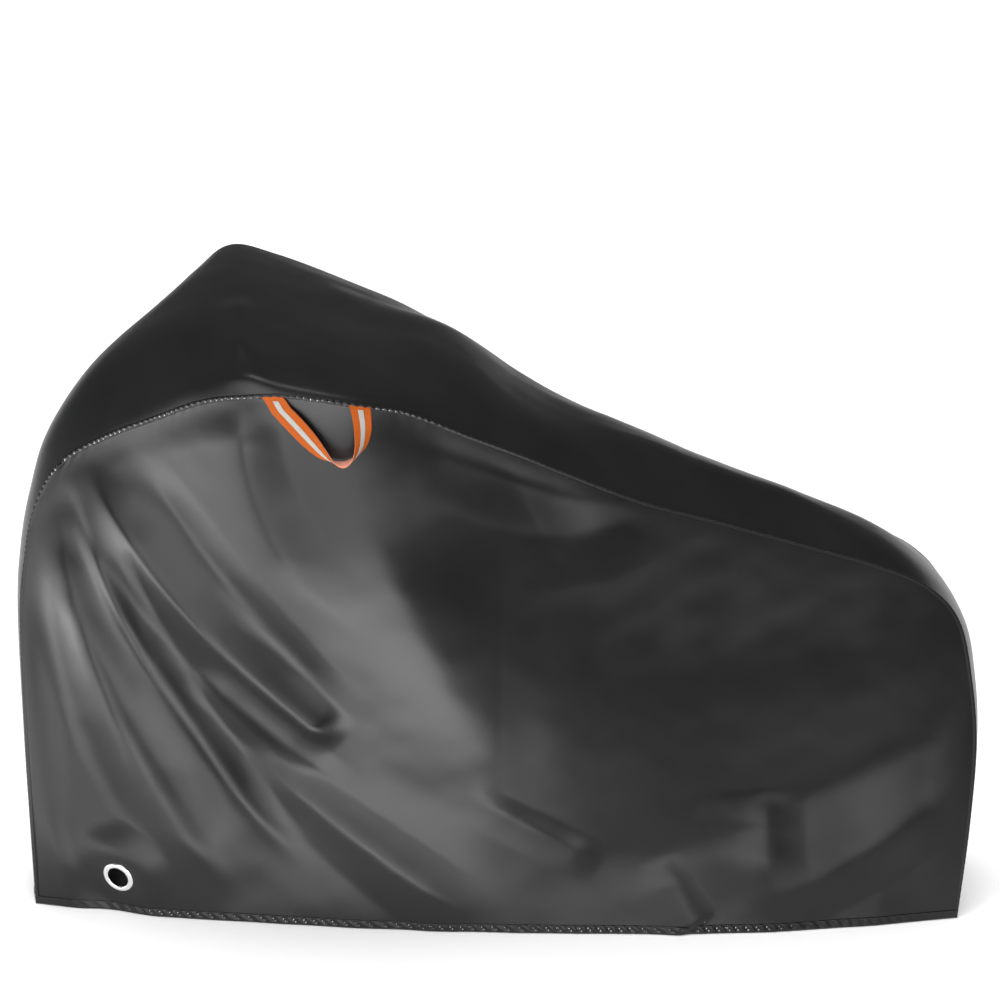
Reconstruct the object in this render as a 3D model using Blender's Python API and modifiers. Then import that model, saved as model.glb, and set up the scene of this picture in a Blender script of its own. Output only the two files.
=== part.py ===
"""Fitted bicycle cover of thin coated cloth, as it stands over its load.

A band of cloth runs from the front hem over the top to the rear hem, and a
shaped side panel is sewn to each of its edges.  The lower front corner of the
left side is a strip that holds a metal eyelet, and a carrying loop of webbing
with a reflecting tape is caught in the left seam.  The cover is open below.

Frame: metres, +X to the rear, +Y to the right-hand side, +Z up, with the hem
on the plane z = 0.  Each panel is a grid on a surface worked out from the
tables below, and is then given its thickness.
"""

import bmesh
import bpy
import numpy as np
from mathutils import Matrix, Vector

CLOTH = 0.002
SEAM_GAP = 0.0004
STRIP_GAP = 0.0012

# Cells across the top band; columns and rows of a side panel's grid, and how
# many of them the eyelet strip takes, with its own grid that much finer.
BAND_CELLS = 10
SIDE_COLUMNS = 42
SIDE_ROWS = 24
STRIP_COLUMNS = 5
STRIP_ROWS = 4
STRIP_FINER = 4

# Steps in which the length of a seam is measured; places along a fold's curve
# from which its nearest place is sought, the turns that the search takes, and
# the share of its plain step that bounds a turn's divisor.
SEAM_STEPS = 1200
FOLD_STEPS = 24
FOLD_TURNS = 5
FOLD_STEADY = 0.3

# The columns of a side panel's grid lean to the rear on their way down, as
# the folds do: a column starts from one share of the top seam and ends on
# another share of the hem, each a power of its number.
COLUMN_TOP_POWER = 1.3
COLUMN_HEM_POWER = 0.85

# Shares of a side panel's length and height over which folds die away
# towards its seams.
FOLD_FREE_FRONT = 0.05
FOLD_FREE_REAR = 0.06
FOLD_FREE_TOP = 0.09

# The seam and the crown of the top band, row by row from the front hem over
# the top to the rear hem.  seam_x, seam_z and half_width place the left seam,
# crown_x and crown_z the middle of the band.  square says how squarely the
# band bends down to its seams, and wall is the share of its height by which
# it stands upright over them; skew and lean shift the right-hand seam forward
# and up, because the cover's peak sits turned and tilted.
BAND_COLUMNS = ("name", "seam_x", "seam_z", "half_width", "crown_x", "crown_z",
                "square", "wall", "skew", "lean")
BAND_ROWS = (
    ("front hem",    -0.908, 0.000, 0.093, -0.921, 0.000, 2.6, 0.00, 0.000, 0.000),
    ("front foot",   -0.910, 0.190, 0.085, -0.922, 0.190, 2.6, 0.00, 0.000, 0.000),
    ("front low",    -0.910, 0.370, 0.080, -0.922, 0.372, 2.6, 0.00, 0.000, 0.000),
    ("front middle", -0.904, 0.600, 0.080, -0.918, 0.605, 2.6, 0.00, 0.000, 0.000),
    ("front high",   -0.888, 0.720, 0.081, -0.905, 0.730, 2.6, 0.00, 0.000, 0.000),
    ("front bend",   -0.862, 0.824, 0.087, -0.882, 0.835, 2.4, 0.00, 0.000, 0.000),
    ("corner",       -0.805, 0.918, 0.108, -0.843, 0.948, 2.3, 0.00, 0.000, 0.003),
    ("brow",         -0.712, 0.986, 0.160, -0.758, 1.068, 2.3, 0.04, 0.004, 0.008),
    ("front slope",  -0.606, 1.045, 0.225, -0.645, 1.158, 2.4, 0.14, 0.016, 0.020),
    ("peak front",   -0.518, 1.092, 0.283, -0.562, 1.196, 2.6, 0.32, 0.030, 0.034),
    ("peak",         -0.440, 1.111, 0.317, -0.482, 1.212, 2.8, 0.55, 0.040, 0.040),
    ("peak rear",    -0.365, 1.115, 0.325, -0.396, 1.196, 2.7, 0.30, 0.034, 0.036),
    ("high slope",   -0.254, 1.098, 0.320, -0.268, 1.158, 2.7, 0.22, 0.016, 0.018),
    ("high back",    -0.160, 1.073, 0.290, -0.165, 1.130, 2.8, 0.12, 0.006, 0.010),
    ("back hump",    -0.060, 1.021, 0.254, -0.062, 1.090, 3.0, 0.00, 0.002, 0.004),
    ("upper back",    0.040, 0.972, 0.224,  0.042, 1.030, 2.8, 0.00, 0.000, 0.000),
    ("back hollow",   0.130, 0.926, 0.200,  0.134, 0.985, 2.7, 0.00, 0.000, 0.000),
    ("middle back",   0.260, 0.865, 0.171,  0.266, 0.930, 2.6, 0.00, 0.000, 0.000),
    ("lower back",    0.400, 0.817, 0.145,  0.408, 0.872, 2.5, 0.00, 0.000, 0.000),
    ("long slope",    0.560, 0.765, 0.127,  0.572, 0.808, 2.5, 0.00, 0.000, 0.000),
    ("slope end",     0.700, 0.719, 0.114,  0.716, 0.744, 2.5, 0.00, 0.000, 0.000),
    ("rear brow",     0.800, 0.672, 0.106,  0.823, 0.662, 2.5, 0.00, 0.000, 0.000),
    ("rear corner",   0.862, 0.600, 0.101,  0.886, 0.575, 2.5, 0.00, 0.000, 0.000),
    ("rear bend",     0.892, 0.480, 0.104,  0.912, 0.465, 2.5, 0.00, 0.000, 0.000),
    ("rear middle",   0.907, 0.350, 0.111,  0.922, 0.345, 2.5, 0.00, 0.000, 0.000),
    ("rear foot",     0.902, 0.180, 0.125,  0.918, 0.178, 2.5, 0.00, 0.000, 0.000),
    ("rear hem",      0.885, 0.000, 0.150,  0.900, 0.000, 2.5, 0.00, 0.000, 0.000),
)
WALL_POWER = 80.0
FRONT_CORNER = "corner"
REAR_CORNER = "rear corner"

# How far the hem of a side panel stands out from the middle, along its length.
HEM_COLUMNS = ("name", "x", "out")
HEM_ROWS = (
    ("front corner",  -0.908, 0.093),
    ("eyelet",        -0.740, 0.133),
    ("front quarter", -0.580, 0.157),
    ("front middle",  -0.350, 0.180),
    ("middle",        -0.040, 0.206),
    ("rear middle",    0.270, 0.214),
    ("rear quarter",   0.500, 0.207),
    ("rear end",       0.730, 0.180),
    ("rear corner",    0.885, 0.150),
)

# The cloth is drawn in over the hem and flares out to it: the height of the
# waist and its depth, along the length, and the rise above it over which it
# goes back.  The waist is rounded over a share of its height.
FLARE_COLUMNS = ("name", "x", "height", "depth", "rise")
FLARE_ROWS = (
    ("front corner",  -0.91, 0.30, 0.000, 0.55),
    ("eyelet",        -0.74, 0.30, 0.010, 0.55),
    ("front quarter", -0.58, 0.30, 0.050, 0.55),
    ("front middle",  -0.35, 0.30, 0.075, 0.60),
    ("middle",         0.00, 0.22, 0.065, 0.60),
    ("rear middle",    0.20, 0.15, 0.042, 0.50),
    ("rear quarter",   0.38, 0.15, 0.034, 0.45),
    ("facet",          0.52, 0.21, 0.044, 0.38),
    ("rear end",       0.70, 0.27, 0.040, 0.30),
    ("rear corner",    0.89, 0.40, 0.012, 0.18),
)
FLARE_ROUNDING = 0.20

# Folds of the side panels, seen from the side: x is the length and z the
# height.  Each row is a crest (lift above 0) or a trough (lift below 0) along
# a curve bent from start over its middle point to foot.  It reaches
# fore_start to fore_foot to its front or lower side, and aft_start to
# aft_foot to its rear or upper side.  ease_in and ease_out are the shares of
# its length over which it rises and dies away, and rounding is how far the
# bend of its crest reaches.  FOLD_POWER bends the flanks down from the crest.
FOLD_POWER = 1.35
FOLD_COLUMNS = ("name", "start_x", "start_z", "middle_x", "middle_z",
                "foot_x", "foot_z", "lift", "fore_start", "fore_foot",
                "aft_start", "aft_foot", "ease_in", "ease_out", "rounding")
LEFT_FOLDS = (
    ("edge trough", -0.875, 0.76, -0.82, 0.43, -0.68, 0.10,
     -0.020, 0.120, 0.200, 0.050, 0.060, 0.30, 0.20, 0.020),
    ("first crest", -0.815, 0.87, -0.725, 0.44, -0.50, 0.03,
     0.040, 0.090, 0.130, 0.095, 0.110, 0.30, 0.20, 0.012),
    ("second crest", -0.78, 0.92, -0.63, 0.485, -0.37, 0.11,
     0.036, 0.045, 0.110, 0.065, 0.040, 0.30, 0.25, 0.008),
    ("long crest", -0.76, 0.94, -0.545, 0.635, -0.29, 0.385,
     0.046, 0.060, 0.110, 0.110, 0.045, 0.25, 0.12, 0.008),
    ("side crest", -0.57, 0.54, -0.45, 0.42, -0.27, 0.26,
     0.018, 0.050, 0.070, 0.045, 0.040, 0.30, 0.40, 0.008),
    ("low crest", -0.48, 0.36, -0.30, 0.21, -0.04, 0.02,
     0.022, 0.060, 0.090, 0.045, 0.060, 0.30, 0.20, 0.010),
    ("peak crest", -0.445, 1.12, -0.42, 0.87, -0.24, 0.63,
     0.024, 0.190, 0.240, 0.060, 0.090, 0.05, 0.40, 0.012),
    ("keel", -0.29, 1.09, -0.13, 0.59, 0.17, 0.08,
     0.048, 0.480, 0.620, 0.200, 0.290, 0.35, 0.40, 0.050),
    ("keel tail", -0.07, 0.29, 0.06, 0.21, 0.20, 0.13,
     0.009, 0.050, 0.050, 0.030, 0.030, 0.35, 0.20, 0.010),
    ("seam trough", -0.20, 1.06, 0.00, 0.94, 0.24, 0.87,
     -0.012, 0.070, 0.090, 0.060, 0.080, 0.30, 0.30, 0.020),
    ("swoosh crest", -0.18, 0.97, 0.08, 0.82, 0.28, 0.87,
     0.012, 0.100, 0.080, 0.080, 0.070, 0.35, 0.30, 0.020),
    ("low rear crest", 0.41, 0.05, 0.66, 0.13, 0.89, 0.30,
     0.016, 0.070, 0.080, 0.110, 0.130, 0.30, 0.30, 0.020),
    ("facet edge", 0.53, 0.27, 0.53, 0.17, 0.54, 0.05,
     0.020, 0.160, 0.180, 0.050, 0.060, 0.35, 0.40, 0.010),
    ("hem pucker", 0.31, 0.15, 0.34, 0.08, 0.38, 0.01,
     0.010, 0.070, 0.080, 0.030, 0.040, 0.40, 0.10, 0.010),
    ("eyelet crest", -0.89, 0.24, -0.84, 0.09, -0.68, 0.03,
     0.010, 0.050, 0.060, 0.030, 0.045, 0.35, 0.35, 0.010),
)
RIGHT_FOLDS = (
    ("front crest", -0.85, 0.84, -0.78, 0.47, -0.64, 0.04,
     0.020, 0.080, 0.140, 0.070, 0.120, 0.30, 0.20, 0.020),
    ("corner crest", -0.78, 0.90, -0.62, 0.56, -0.40, 0.12,
     0.022, 0.060, 0.120, 0.050, 0.100, 0.30, 0.25, 0.015),
    ("slant crest", -0.70, 0.96, -0.50, 0.72, -0.26, 0.48,
     0.018, 0.070, 0.110, 0.060, 0.070, 0.30, 0.25, 0.015),
    ("keel", -0.33, 1.30, -0.23, 0.62, 0.02, 0.02,
     0.050, 0.440, 0.600, 0.220, 0.300, 0.35, 0.30, 0.060),
    ("peak crest", -0.52, 1.15, -0.50, 0.86, -0.38, 0.56,
     0.013, 0.120, 0.180, 0.080, 0.120, 0.05, 0.40, 0.020),
    ("back crest", 0.06, 1.02, 0.18, 0.70, 0.32, 0.26,
     0.016, 0.160, 0.240, 0.120, 0.200, 0.20, 0.35, 0.030),
    ("rear crest", 0.76, 0.64, 0.64, 0.40, 0.42, 0.10,
     0.016, 0.100, 0.160, 0.120, 0.200, 0.30, 0.25, 0.025),
    ("low trough", 0.25, 0.15, 0.52, 0.19, 0.82, 0.38,
     -0.018, 0.120, 0.160, 0.160, 0.180, 0.30, 0.30, 0.025),
)

# Folds of the top band, seen from above: x is the length and z stands for y.
# They die away over the outer part of the band, and before two of its rows.
TOP_FOLDS = (
    ("long ridge", 0.12, -0.05, 0.42, -0.03, 0.76, -0.02,
     0.008, 0.070, 0.050, 0.080, 0.060, 0.30, 0.30, 0.015),
    ("long trough", 0.05, -0.13, 0.35, -0.09, 0.69, -0.06,
     -0.006, 0.070, 0.050, 0.070, 0.050, 0.30, 0.30, 0.020),
    ("peak ridge", -0.38, 0.13, -0.24, 0.09, -0.10, 0.03,
     0.007, 0.100, 0.080, 0.080, 0.060, 0.30, 0.30, 0.020),
    ("back hump", -0.12, -0.18, -0.11, 0.03, -0.13, 0.22,
     0.010, 0.100, 0.100, 0.100, 0.100, 0.35, 0.30, 0.040),
    ("back hollow", 0.07, -0.15, 0.08, 0.02, 0.08, 0.17,
     -0.007, 0.100, 0.100, 0.120, 0.120, 0.35, 0.30, 0.040),
)
TOP_FOLD_ROWS = ("brow", "slope end")
TOP_FOLD_FREE = 0.30

# The eyelet: its centre on the cloth's face, and how its flat seat leans out to
# the rear and upwards.  SEAT_FLAT is the radius of the seat, SEAT_END the
# radius over which it passes into the cloth around it.
EYELET_CENTRE = (-0.740, -0.128, 0.076)
EYELET_LEAN_REAR = 0.40
EYELET_LEAN_UP = 0.18
SEAT_FLAT = 0.036
SEAT_END = 0.120
EYELET_CLEAR = 0.0004
EYELET_STEPS = 36
EYELET_CUT_DEPTH = 0.020
EYELET_MERGE = 0.00001

# The eyelet's turned section: radius from its axis, and height along the axis
# from the front face of the cloth, both in millimetres.  It runs from the
# barrel round the rear washer and up through the hole to the front flange.
EYELET_SECTION = (
    (22.7, 0.4), (22.7, -2.4), (29.6, -2.4), (30.0, -3.0), (29.5, -3.6),
    (22.3, -3.6), (21.5, -2.6), (21.5, 0.8), (22.8, 2.6), (25.4, 3.5),
    (28.4, 3.4), (31.0, 2.4), (32.2, 1.2), (32.0, 0.4),
)

# The carrying loop: its two edges, from its front end in the seam round the
# hanging belly to its rear end.  out is measured from the middle plane.
STRAP_COLUMNS = ("name", "inner_x", "inner_z", "inner_out",
                 "outer_x", "outer_z", "outer_out")
STRAP_ROWS = (
    ("front end",   -0.379, 1.110, 0.327, -0.417, 1.111, 0.323),
    ("front top",   -0.360, 1.092, 0.324, -0.394, 1.081, 0.318),
    ("front leg",   -0.339, 1.068, 0.322, -0.366, 1.046, 0.313),
    ("front low",   -0.319, 1.042, 0.323, -0.340, 1.018, 0.312),
    ("front turn",  -0.302, 1.017, 0.329, -0.316, 0.999, 0.312),
    ("belly front", -0.288, 0.998, 0.338, -0.296, 0.993, 0.312),
    ("belly",       -0.272, 0.991, 0.343, -0.273, 0.992, 0.311),
    ("belly rear",  -0.258, 1.000, 0.339, -0.250, 1.002, 0.311),
    ("rear turn",   -0.252, 1.021, 0.330, -0.232, 1.022, 0.311),
    ("rear low",    -0.253, 1.049, 0.322, -0.224, 1.048, 0.311),
    ("rear top",    -0.256, 1.076, 0.323, -0.223, 1.073, 0.317),
    ("rear end",    -0.263, 1.097, 0.326, -0.225, 1.087, 0.317),
)
STRAP_STEPS = 6
WEBBING = 0.0016
TAPE = 0.0010
TAPE_SHARE = (0.37, 0.64)
TAPE_GAP = 0.0005

BLACK_CLOTH = (0.012, 0.012, 0.013)
CLOTH_ROUGHNESS = 0.42
STEEL = (0.78, 0.78, 0.80)
STEEL_ROUGHNESS = 0.22
ORANGE = (0.76, 0.10, 0.008)
WEBBING_ROUGHNESS = 0.75
REFLECTOR = (0.62, 0.64, 0.60)
TAPE_ROUGHNESS = 0.35


def smooth_rows(columns, rows, station):
    """Named values of a table at fractional row numbers.

    Each column is a cubic through its rows whose slope at a row is half the
    difference between the rows on either side of it.
    """
    values = np.array([row[1:] for row in rows], dtype=float)
    slopes = np.gradient(values, axis=0)
    station = np.clip(np.asarray(station, dtype=float), 0.0, len(rows) - 1.0)
    low = np.minimum(station.astype(int), len(rows) - 2)
    part = (station - low)[..., None]
    start, end = values[low], values[low + 1]
    rise = end - start
    bend_in = slopes[low] - rise
    bend_out = rise - slopes[low + 1]
    result = (start + part * rise
              + part * (1.0 - part) * ((1.0 - part) * bend_in + part * bend_out))
    return dict(zip(columns[1:], np.moveaxis(result, -1, 0)))


def row_number(rows, name):
    """Place of the row with this name in a table."""
    return [row[0] for row in rows].index(name)


def band_surface(station, across):
    """Point of the top band.

    Across the band, from -1 at the left seam to +1 at the right, the cloth
    rises from the seams to the crown by 1 - |across| ** square, but for the
    share of its wall, where a high power makes it upright.  Its own folds
    lift it, dying away towards the seams and the two ends of the top.
    """
    row = smooth_rows(BAND_COLUMNS, BAND_ROWS, station)
    off = np.abs(across)
    arch = 1.0 - (1.0 - row["wall"]) * off ** row["square"] - row["wall"] * off ** WALL_POWER
    right = across + 1.0
    x = (row["seam_x"] - row["skew"] * right
         + (row["crown_x"] - row["seam_x"] + row["skew"]) * arch)
    y = row["half_width"] * across
    z = (row["seam_z"] + row["lean"] * right
         + (row["crown_z"] - row["seam_z"] - row["lean"]) * arch)
    first, last = (row_number(BAND_ROWS, name) for name in TOP_FOLD_ROWS)
    free = (smooth_step(station - first) * smooth_step(last - station)
            * smooth_step((1.0 - np.abs(across)) / TOP_FOLD_FREE))
    z = z + free * sum(fold_height(x, y, fold) for fold in TOP_FOLDS)
    return np.stack([x, y, z], -1)


def seam_point(station, side):
    """Seam of the band on one side, -1 for left and +1 for right."""
    return band_surface(station, np.full(np.shape(station), float(side)))


def nearest_on_fold(x, z, fold):
    """Share along a fold's curve nearest to points, and the ways there.

    The curve is bent from start to foot through its middle point.  The
    search starts from the nearest of some even places and goes on by
    Newton's rule until the way to the point is square to the curve.
    Returned are the share, the curve's direction and the way to the point.
    """
    start, middle, foot = (np.array([fold[place + "_x"], fold[place + "_z"]])
                           for place in ("start", "middle", "foot"))
    bend = 2.0 * middle - 0.5 * (start + foot)
    turn = 2.0 * (foot - 2.0 * bend + start)
    place = lambda t: (1 - t) ** 2 * start + 2 * t * (1 - t) * bend + t ** 2 * foot
    slope = lambda t: 2.0 * (1 - t) * (bend - start) + 2.0 * t * (foot - bend)
    dot = lambda a, b: np.sum(a * b, axis=-1, keepdims=True)
    point = np.stack([x, z], -1)
    even = np.linspace(0.0, 1.0, FOLD_STEPS + 1)[:, None]
    near = np.argmin(np.linalg.norm(point[..., None, :] - place(even), axis=-1), axis=-1)
    share = even[near]
    for _ in range(FOLD_TURNS):
        way, tangent = place(share) - point, slope(share)
        square = dot(tangent, tangent)
        share = share - dot(way, tangent) / np.maximum(square + dot(way, turn),
                                                       FOLD_STEADY * square)
        share = np.clip(share, 0.0, 1.0)
    return share[..., 0], slope(share), point - place(share)


def fold_height(x, z, row):
    """Height of one fold at points of its panel.

    Across its curve the height is 1 - distance / reach to the fold's power,
    as cloth hangs down from a crest, with one reach to each side and the
    crest rounded; along the curve it is eased in and out.
    """
    fold = dict(zip(FOLD_COLUMNS, row))
    along, tangent, way = nearest_on_fold(x, z, fold)
    aft = tangent[..., 0] * way[..., 1] - tangent[..., 1] * way[..., 0] >= 0.0
    reach = np.where(aft, fold["aft_start"] + (fold["aft_foot"] - fold["aft_start"]) * along,
                     fold["fore_start"] + (fold["fore_foot"] - fold["fore_start"]) * along)
    distance = np.hypot(np.linalg.norm(way, axis=-1), fold["rounding"]) - fold["rounding"]
    bell = np.clip(1.0 - distance / reach, 0.0, 1.0) ** FOLD_POWER
    ease = (smooth_step(along / fold["ease_in"])
            * smooth_step((1.0 - along) / fold["ease_out"]))
    return fold["lift"] * bell * ease


def smooth_step(share):
    """Soft step from 0 to 1 as share goes from 0 to 1."""
    share = np.clip(share, 0.0, 1.0)
    return share * share * (3.0 - 2.0 * share)


def edge_station(share, first, last):
    """Station of the band at a share of the seam's length between two rows."""
    fine = np.linspace(first, last, SEAM_STEPS + 1)
    run = np.concatenate([[0.0], np.cumsum(
        np.linalg.norm(np.diff(seam_point(fine, -1), axis=0), axis=1))])
    return np.interp(share, run / run[-1], fine)


def top_share(column):
    """Share of the top seam that a column of a side panel starts from."""
    return column ** COLUMN_TOP_POWER


def hem_share(column):
    """Share of the hem that the same column ends on, further to the rear."""
    return column ** COLUMN_HEM_POWER


def top_station(column):
    """Station of the band where a column of a side panel starts."""
    return edge_station(top_share(column), row_number(BAND_ROWS, FRONT_CORNER),
                        row_number(BAND_ROWS, REAR_CORNER))


def front_station(row):
    """Station of the band beside a row of a side panel, on the front edge."""
    return edge_station(row, 0, row_number(BAND_ROWS, FRONT_CORNER))


def rear_station(row):
    """Station of the band beside a row of a side panel, on the rear edge."""
    return edge_station(1.0 - row, row_number(BAND_ROWS, REAR_CORNER),
                        len(BAND_ROWS) - 1)


def hem_point(share, side):
    """Point of a side panel's hem at a share of its length."""
    x = HEM_ROWS[0][1] + share * (HEM_ROWS[-1][1] - HEM_ROWS[0][1])
    stops = np.array([row[1] for row in HEM_ROWS])
    station = np.interp(x, stops, np.arange(len(stops)))
    out = smooth_rows(HEM_COLUMNS, HEM_ROWS, station)["out"]
    return np.stack([x, side * out, np.zeros_like(x)], -1)


def draw_in(x, z):
    """Depth by which a side panel is drawn in over its hem.

    It rises straight to the waist, whose end is rounded, and goes back to
    nothing above it by half a cosine wave.
    """
    stops = np.array([row[1] for row in FLARE_ROWS])
    waist = smooth_rows(FLARE_COLUMNS, FLARE_ROWS, np.interp(x, stops, np.arange(len(stops))))
    share = z / waist["height"]
    below = 0.5 * (share + np.hypot(1.0, FLARE_ROUNDING)
                   - np.hypot(share - 1.0, FLARE_ROUNDING))
    above = np.clip((z - waist["height"]) / waist["rise"], 0.0, 1.0)
    return waist["depth"] * below * (0.5 + 0.5 * np.cos(np.pi * above))


def draped_side(column, row, side, folds):
    """Point of a side panel, both parameters from 0 to 1, without the eyelet.

    The four edges, which are the front edge, the top seam, the rear edge and
    the hem, are blended as a Coons patch, and the folds stand out of it,
    dying away towards the seams.
    """
    top = seam_point(top_station(column), side)
    hem = hem_point(hem_share(column), side)
    front = seam_point(front_station(row), side)
    rear = seam_point(rear_station(row), side)
    front_hem, front_top, rear_top, rear_hem = seam_point(np.array(
        [0, row_number(BAND_ROWS, FRONT_CORNER),
         row_number(BAND_ROWS, REAR_CORNER), len(BAND_ROWS) - 1]), side)
    along = hem_share(column) + (top_share(column) - hem_share(column)) * row
    u, v = along[..., None], row[..., None]
    point = ((1 - u) * front + u * rear + (1 - v) * hem + v * top
             - (1 - u) * (1 - v) * front_hem - u * (1 - v) * rear_hem
             - (1 - u) * v * front_top - u * v * rear_top)
    free = (smooth_step(along / FOLD_FREE_FRONT)
            * smooth_step((1 - along) / FOLD_FREE_REAR)
            * smooth_step((1 - row) / FOLD_FREE_TOP))
    height = sum(fold_height(point[..., 0], point[..., 2], fold) for fold in folds)
    height = height - draw_in(point[..., 0], point[..., 2])
    point[..., 1] += side * free * height
    return point


def eyelet_seat():
    """Centre of the eyelet on the cloth's face, and the outward axis of its seat."""
    axis = Vector((-EYELET_LEAN_REAR, -1.0, -EYELET_LEAN_UP)).normalized()
    return Vector(EYELET_CENTRE), axis


def left_surface(column, row):
    """Point of the left panel: the draped cloth, laid flat round the eyelet.

    Inside the seat's radius the cloth is the seat's plane, and from there to
    the seat's end it passes into the drape by a soft step.
    """
    point = draped_side(column, row, -1, LEFT_FOLDS)
    centre, _ = eyelet_seat()
    right, up = point[..., 0] - centre.x, point[..., 2] - centre.z
    plane = centre.y - EYELET_LEAN_REAR * right - EYELET_LEAN_UP * up
    reach = (np.hypot(right, up) - SEAT_FLAT) / (SEAT_END - SEAT_FLAT)
    point[..., 1] += (1.0 - smooth_step(reach)) * (plane - point[..., 1])
    return point


def right_surface(column, row):
    """Point of the right panel."""
    return draped_side(column, row, 1, RIGHT_FOLDS)


def draw_back(points, edges, gap):
    """Grid of points with some of its edges drawn in by a gap.

    The grid's rows run from the hem to the top and its columns from the front
    to the rear; an edge's points move towards the next line of the grid.
    """
    lines = {"hem": (0, 0, 1), "top": (0, -1, -2), "front": (1, 0, 1), "rear": (1, -1, -2)}
    points = points.copy()
    for axis, edge, inner in (lines[name] for name in edges):
        line = np.moveaxis(points, axis, 0)
        way = line[inner] - line[edge]
        line[edge] += gap * way / np.linalg.norm(way, axis=-1, keepdims=True)
    return points


def sheet_object(name, points, outward, thickness, offset, colour, roughness,
                 metallic=0.0, notch=None):
    """A sheet: a grid laid through the points, given a thickness.

    outward is the way that its front faces look.  offset is -1 to thicken
    behind the grid, 1 in front of it and 0 on both sides.  notch is the
    number of rows and columns that are left out at the first corner.
    """
    rows, columns = points.shape[:2]
    form = bmesh.new()
    bmesh.ops.create_grid(form, x_segments=columns - 1, y_segments=rows - 1, size=1.0)
    order = sorted(form.verts, key=lambda vertex: (round(vertex.co.y, 5),
                                                   round(vertex.co.x, 5)))
    for vertex, point in zip(order, points.reshape(-1, 3)):
        vertex.co = point
    if notch:
        skipped = {order[row * columns + column]
                   for row in range(notch[0] + 1) for column in range(notch[1] + 1)}
        bmesh.ops.delete(form, context="FACES", geom=[
            face for face in form.faces if skipped.issuperset(face.verts)])
    form.normal_update()
    facing = sum(face.calc_area() * face.normal.dot(outward(face.calc_center_median()))
                 for face in form.faces)
    if facing < 0.0:
        bmesh.ops.reverse_faces(form, faces=form.faces)
    bmesh.ops.triangulate(form, faces=form.faces, quad_method="FIXED")
    item = object_of(name, form, colour, roughness, metallic)
    shell = item.modifiers.new("thickness", "SOLIDIFY")
    shell.thickness = thickness
    shell.offset = offset
    shell.use_even_offset = True
    return item


def object_of(name, form, colour, roughness, metallic):
    """Named object of a bmesh, with its own material, in the cover's collection."""
    mesh = bpy.data.meshes.new(name)
    form.to_mesh(mesh)
    form.free()
    mesh.shade_smooth()
    material = bpy.data.materials.new(name)
    material.use_nodes = True
    shader = material.node_tree.nodes["Principled BSDF"]
    shader.inputs["Base Color"].default_value = (*colour, 1.0)
    shader.inputs["Roughness"].default_value = roughness
    shader.inputs["Metallic"].default_value = metallic
    mesh.materials.append(material)
    item = bpy.data.objects.new(name, mesh)
    COVER.objects.link(item)
    return item


def new_collection(name):
    """Collection of this name in the scene."""
    collection = bpy.data.collections.new(name)
    bpy.context.scene.collection.children.link(collection)
    return collection


def panel_grid():
    """Column and row parameters of every point of a side panel's grid."""
    return np.meshgrid(np.linspace(0.0, 1.0, SIDE_COLUMNS + 1),
                       np.linspace(0.0, 1.0, SIDE_ROWS + 1))


def build_top_panel():
    """The top band, outside the seam line, its stations those of the sides."""
    columns = np.linspace(0.0, 1.0, SIDE_COLUMNS + 1)
    rows = np.linspace(0.0, 1.0, SIDE_ROWS + 1)
    stations = np.concatenate([front_station(rows)[:-1], top_station(columns),
                               rear_station(rows[::-1])[1:]])
    across = -np.cos(np.linspace(0.0, np.pi, BAND_CELLS + 1))
    points = band_surface(*np.meshgrid(stations, across, indexing="ij"))
    middle = Vector((0.0, 0.0, 0.5 * points[..., 2].max()))
    return sheet_object("top_panel", points, lambda place: place - middle,
                        CLOTH, 1.0, BLACK_CLOTH, CLOTH_ROUGHNESS)


def build_side_panels():
    """The two side panels, inside the seam line; the left one lacks its strip."""
    for name, surface, side, notch in (
            ("side_panel_left", left_surface, -1.0, (STRIP_ROWS, STRIP_COLUMNS)),
            ("side_panel_right", right_surface, 1.0, None)):
        points = draw_back(surface(*panel_grid()), ("front", "rear", "top"), SEAM_GAP)
        sheet_object(name, points, lambda place, side=side: Vector((0.0, side, 0.0)),
                     CLOTH, -1.0, BLACK_CLOTH, CLOTH_ROUGHNESS, notch=notch)


def straight_steps(line):
    """Edge of the strip laid on the straight steps of the panel's coarser grid."""
    count = np.arange(len(line))
    stops = count[::STRIP_FINER]
    return np.stack([np.interp(count, stops, line[stops, axis]) for axis in range(3)], -1)


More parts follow.
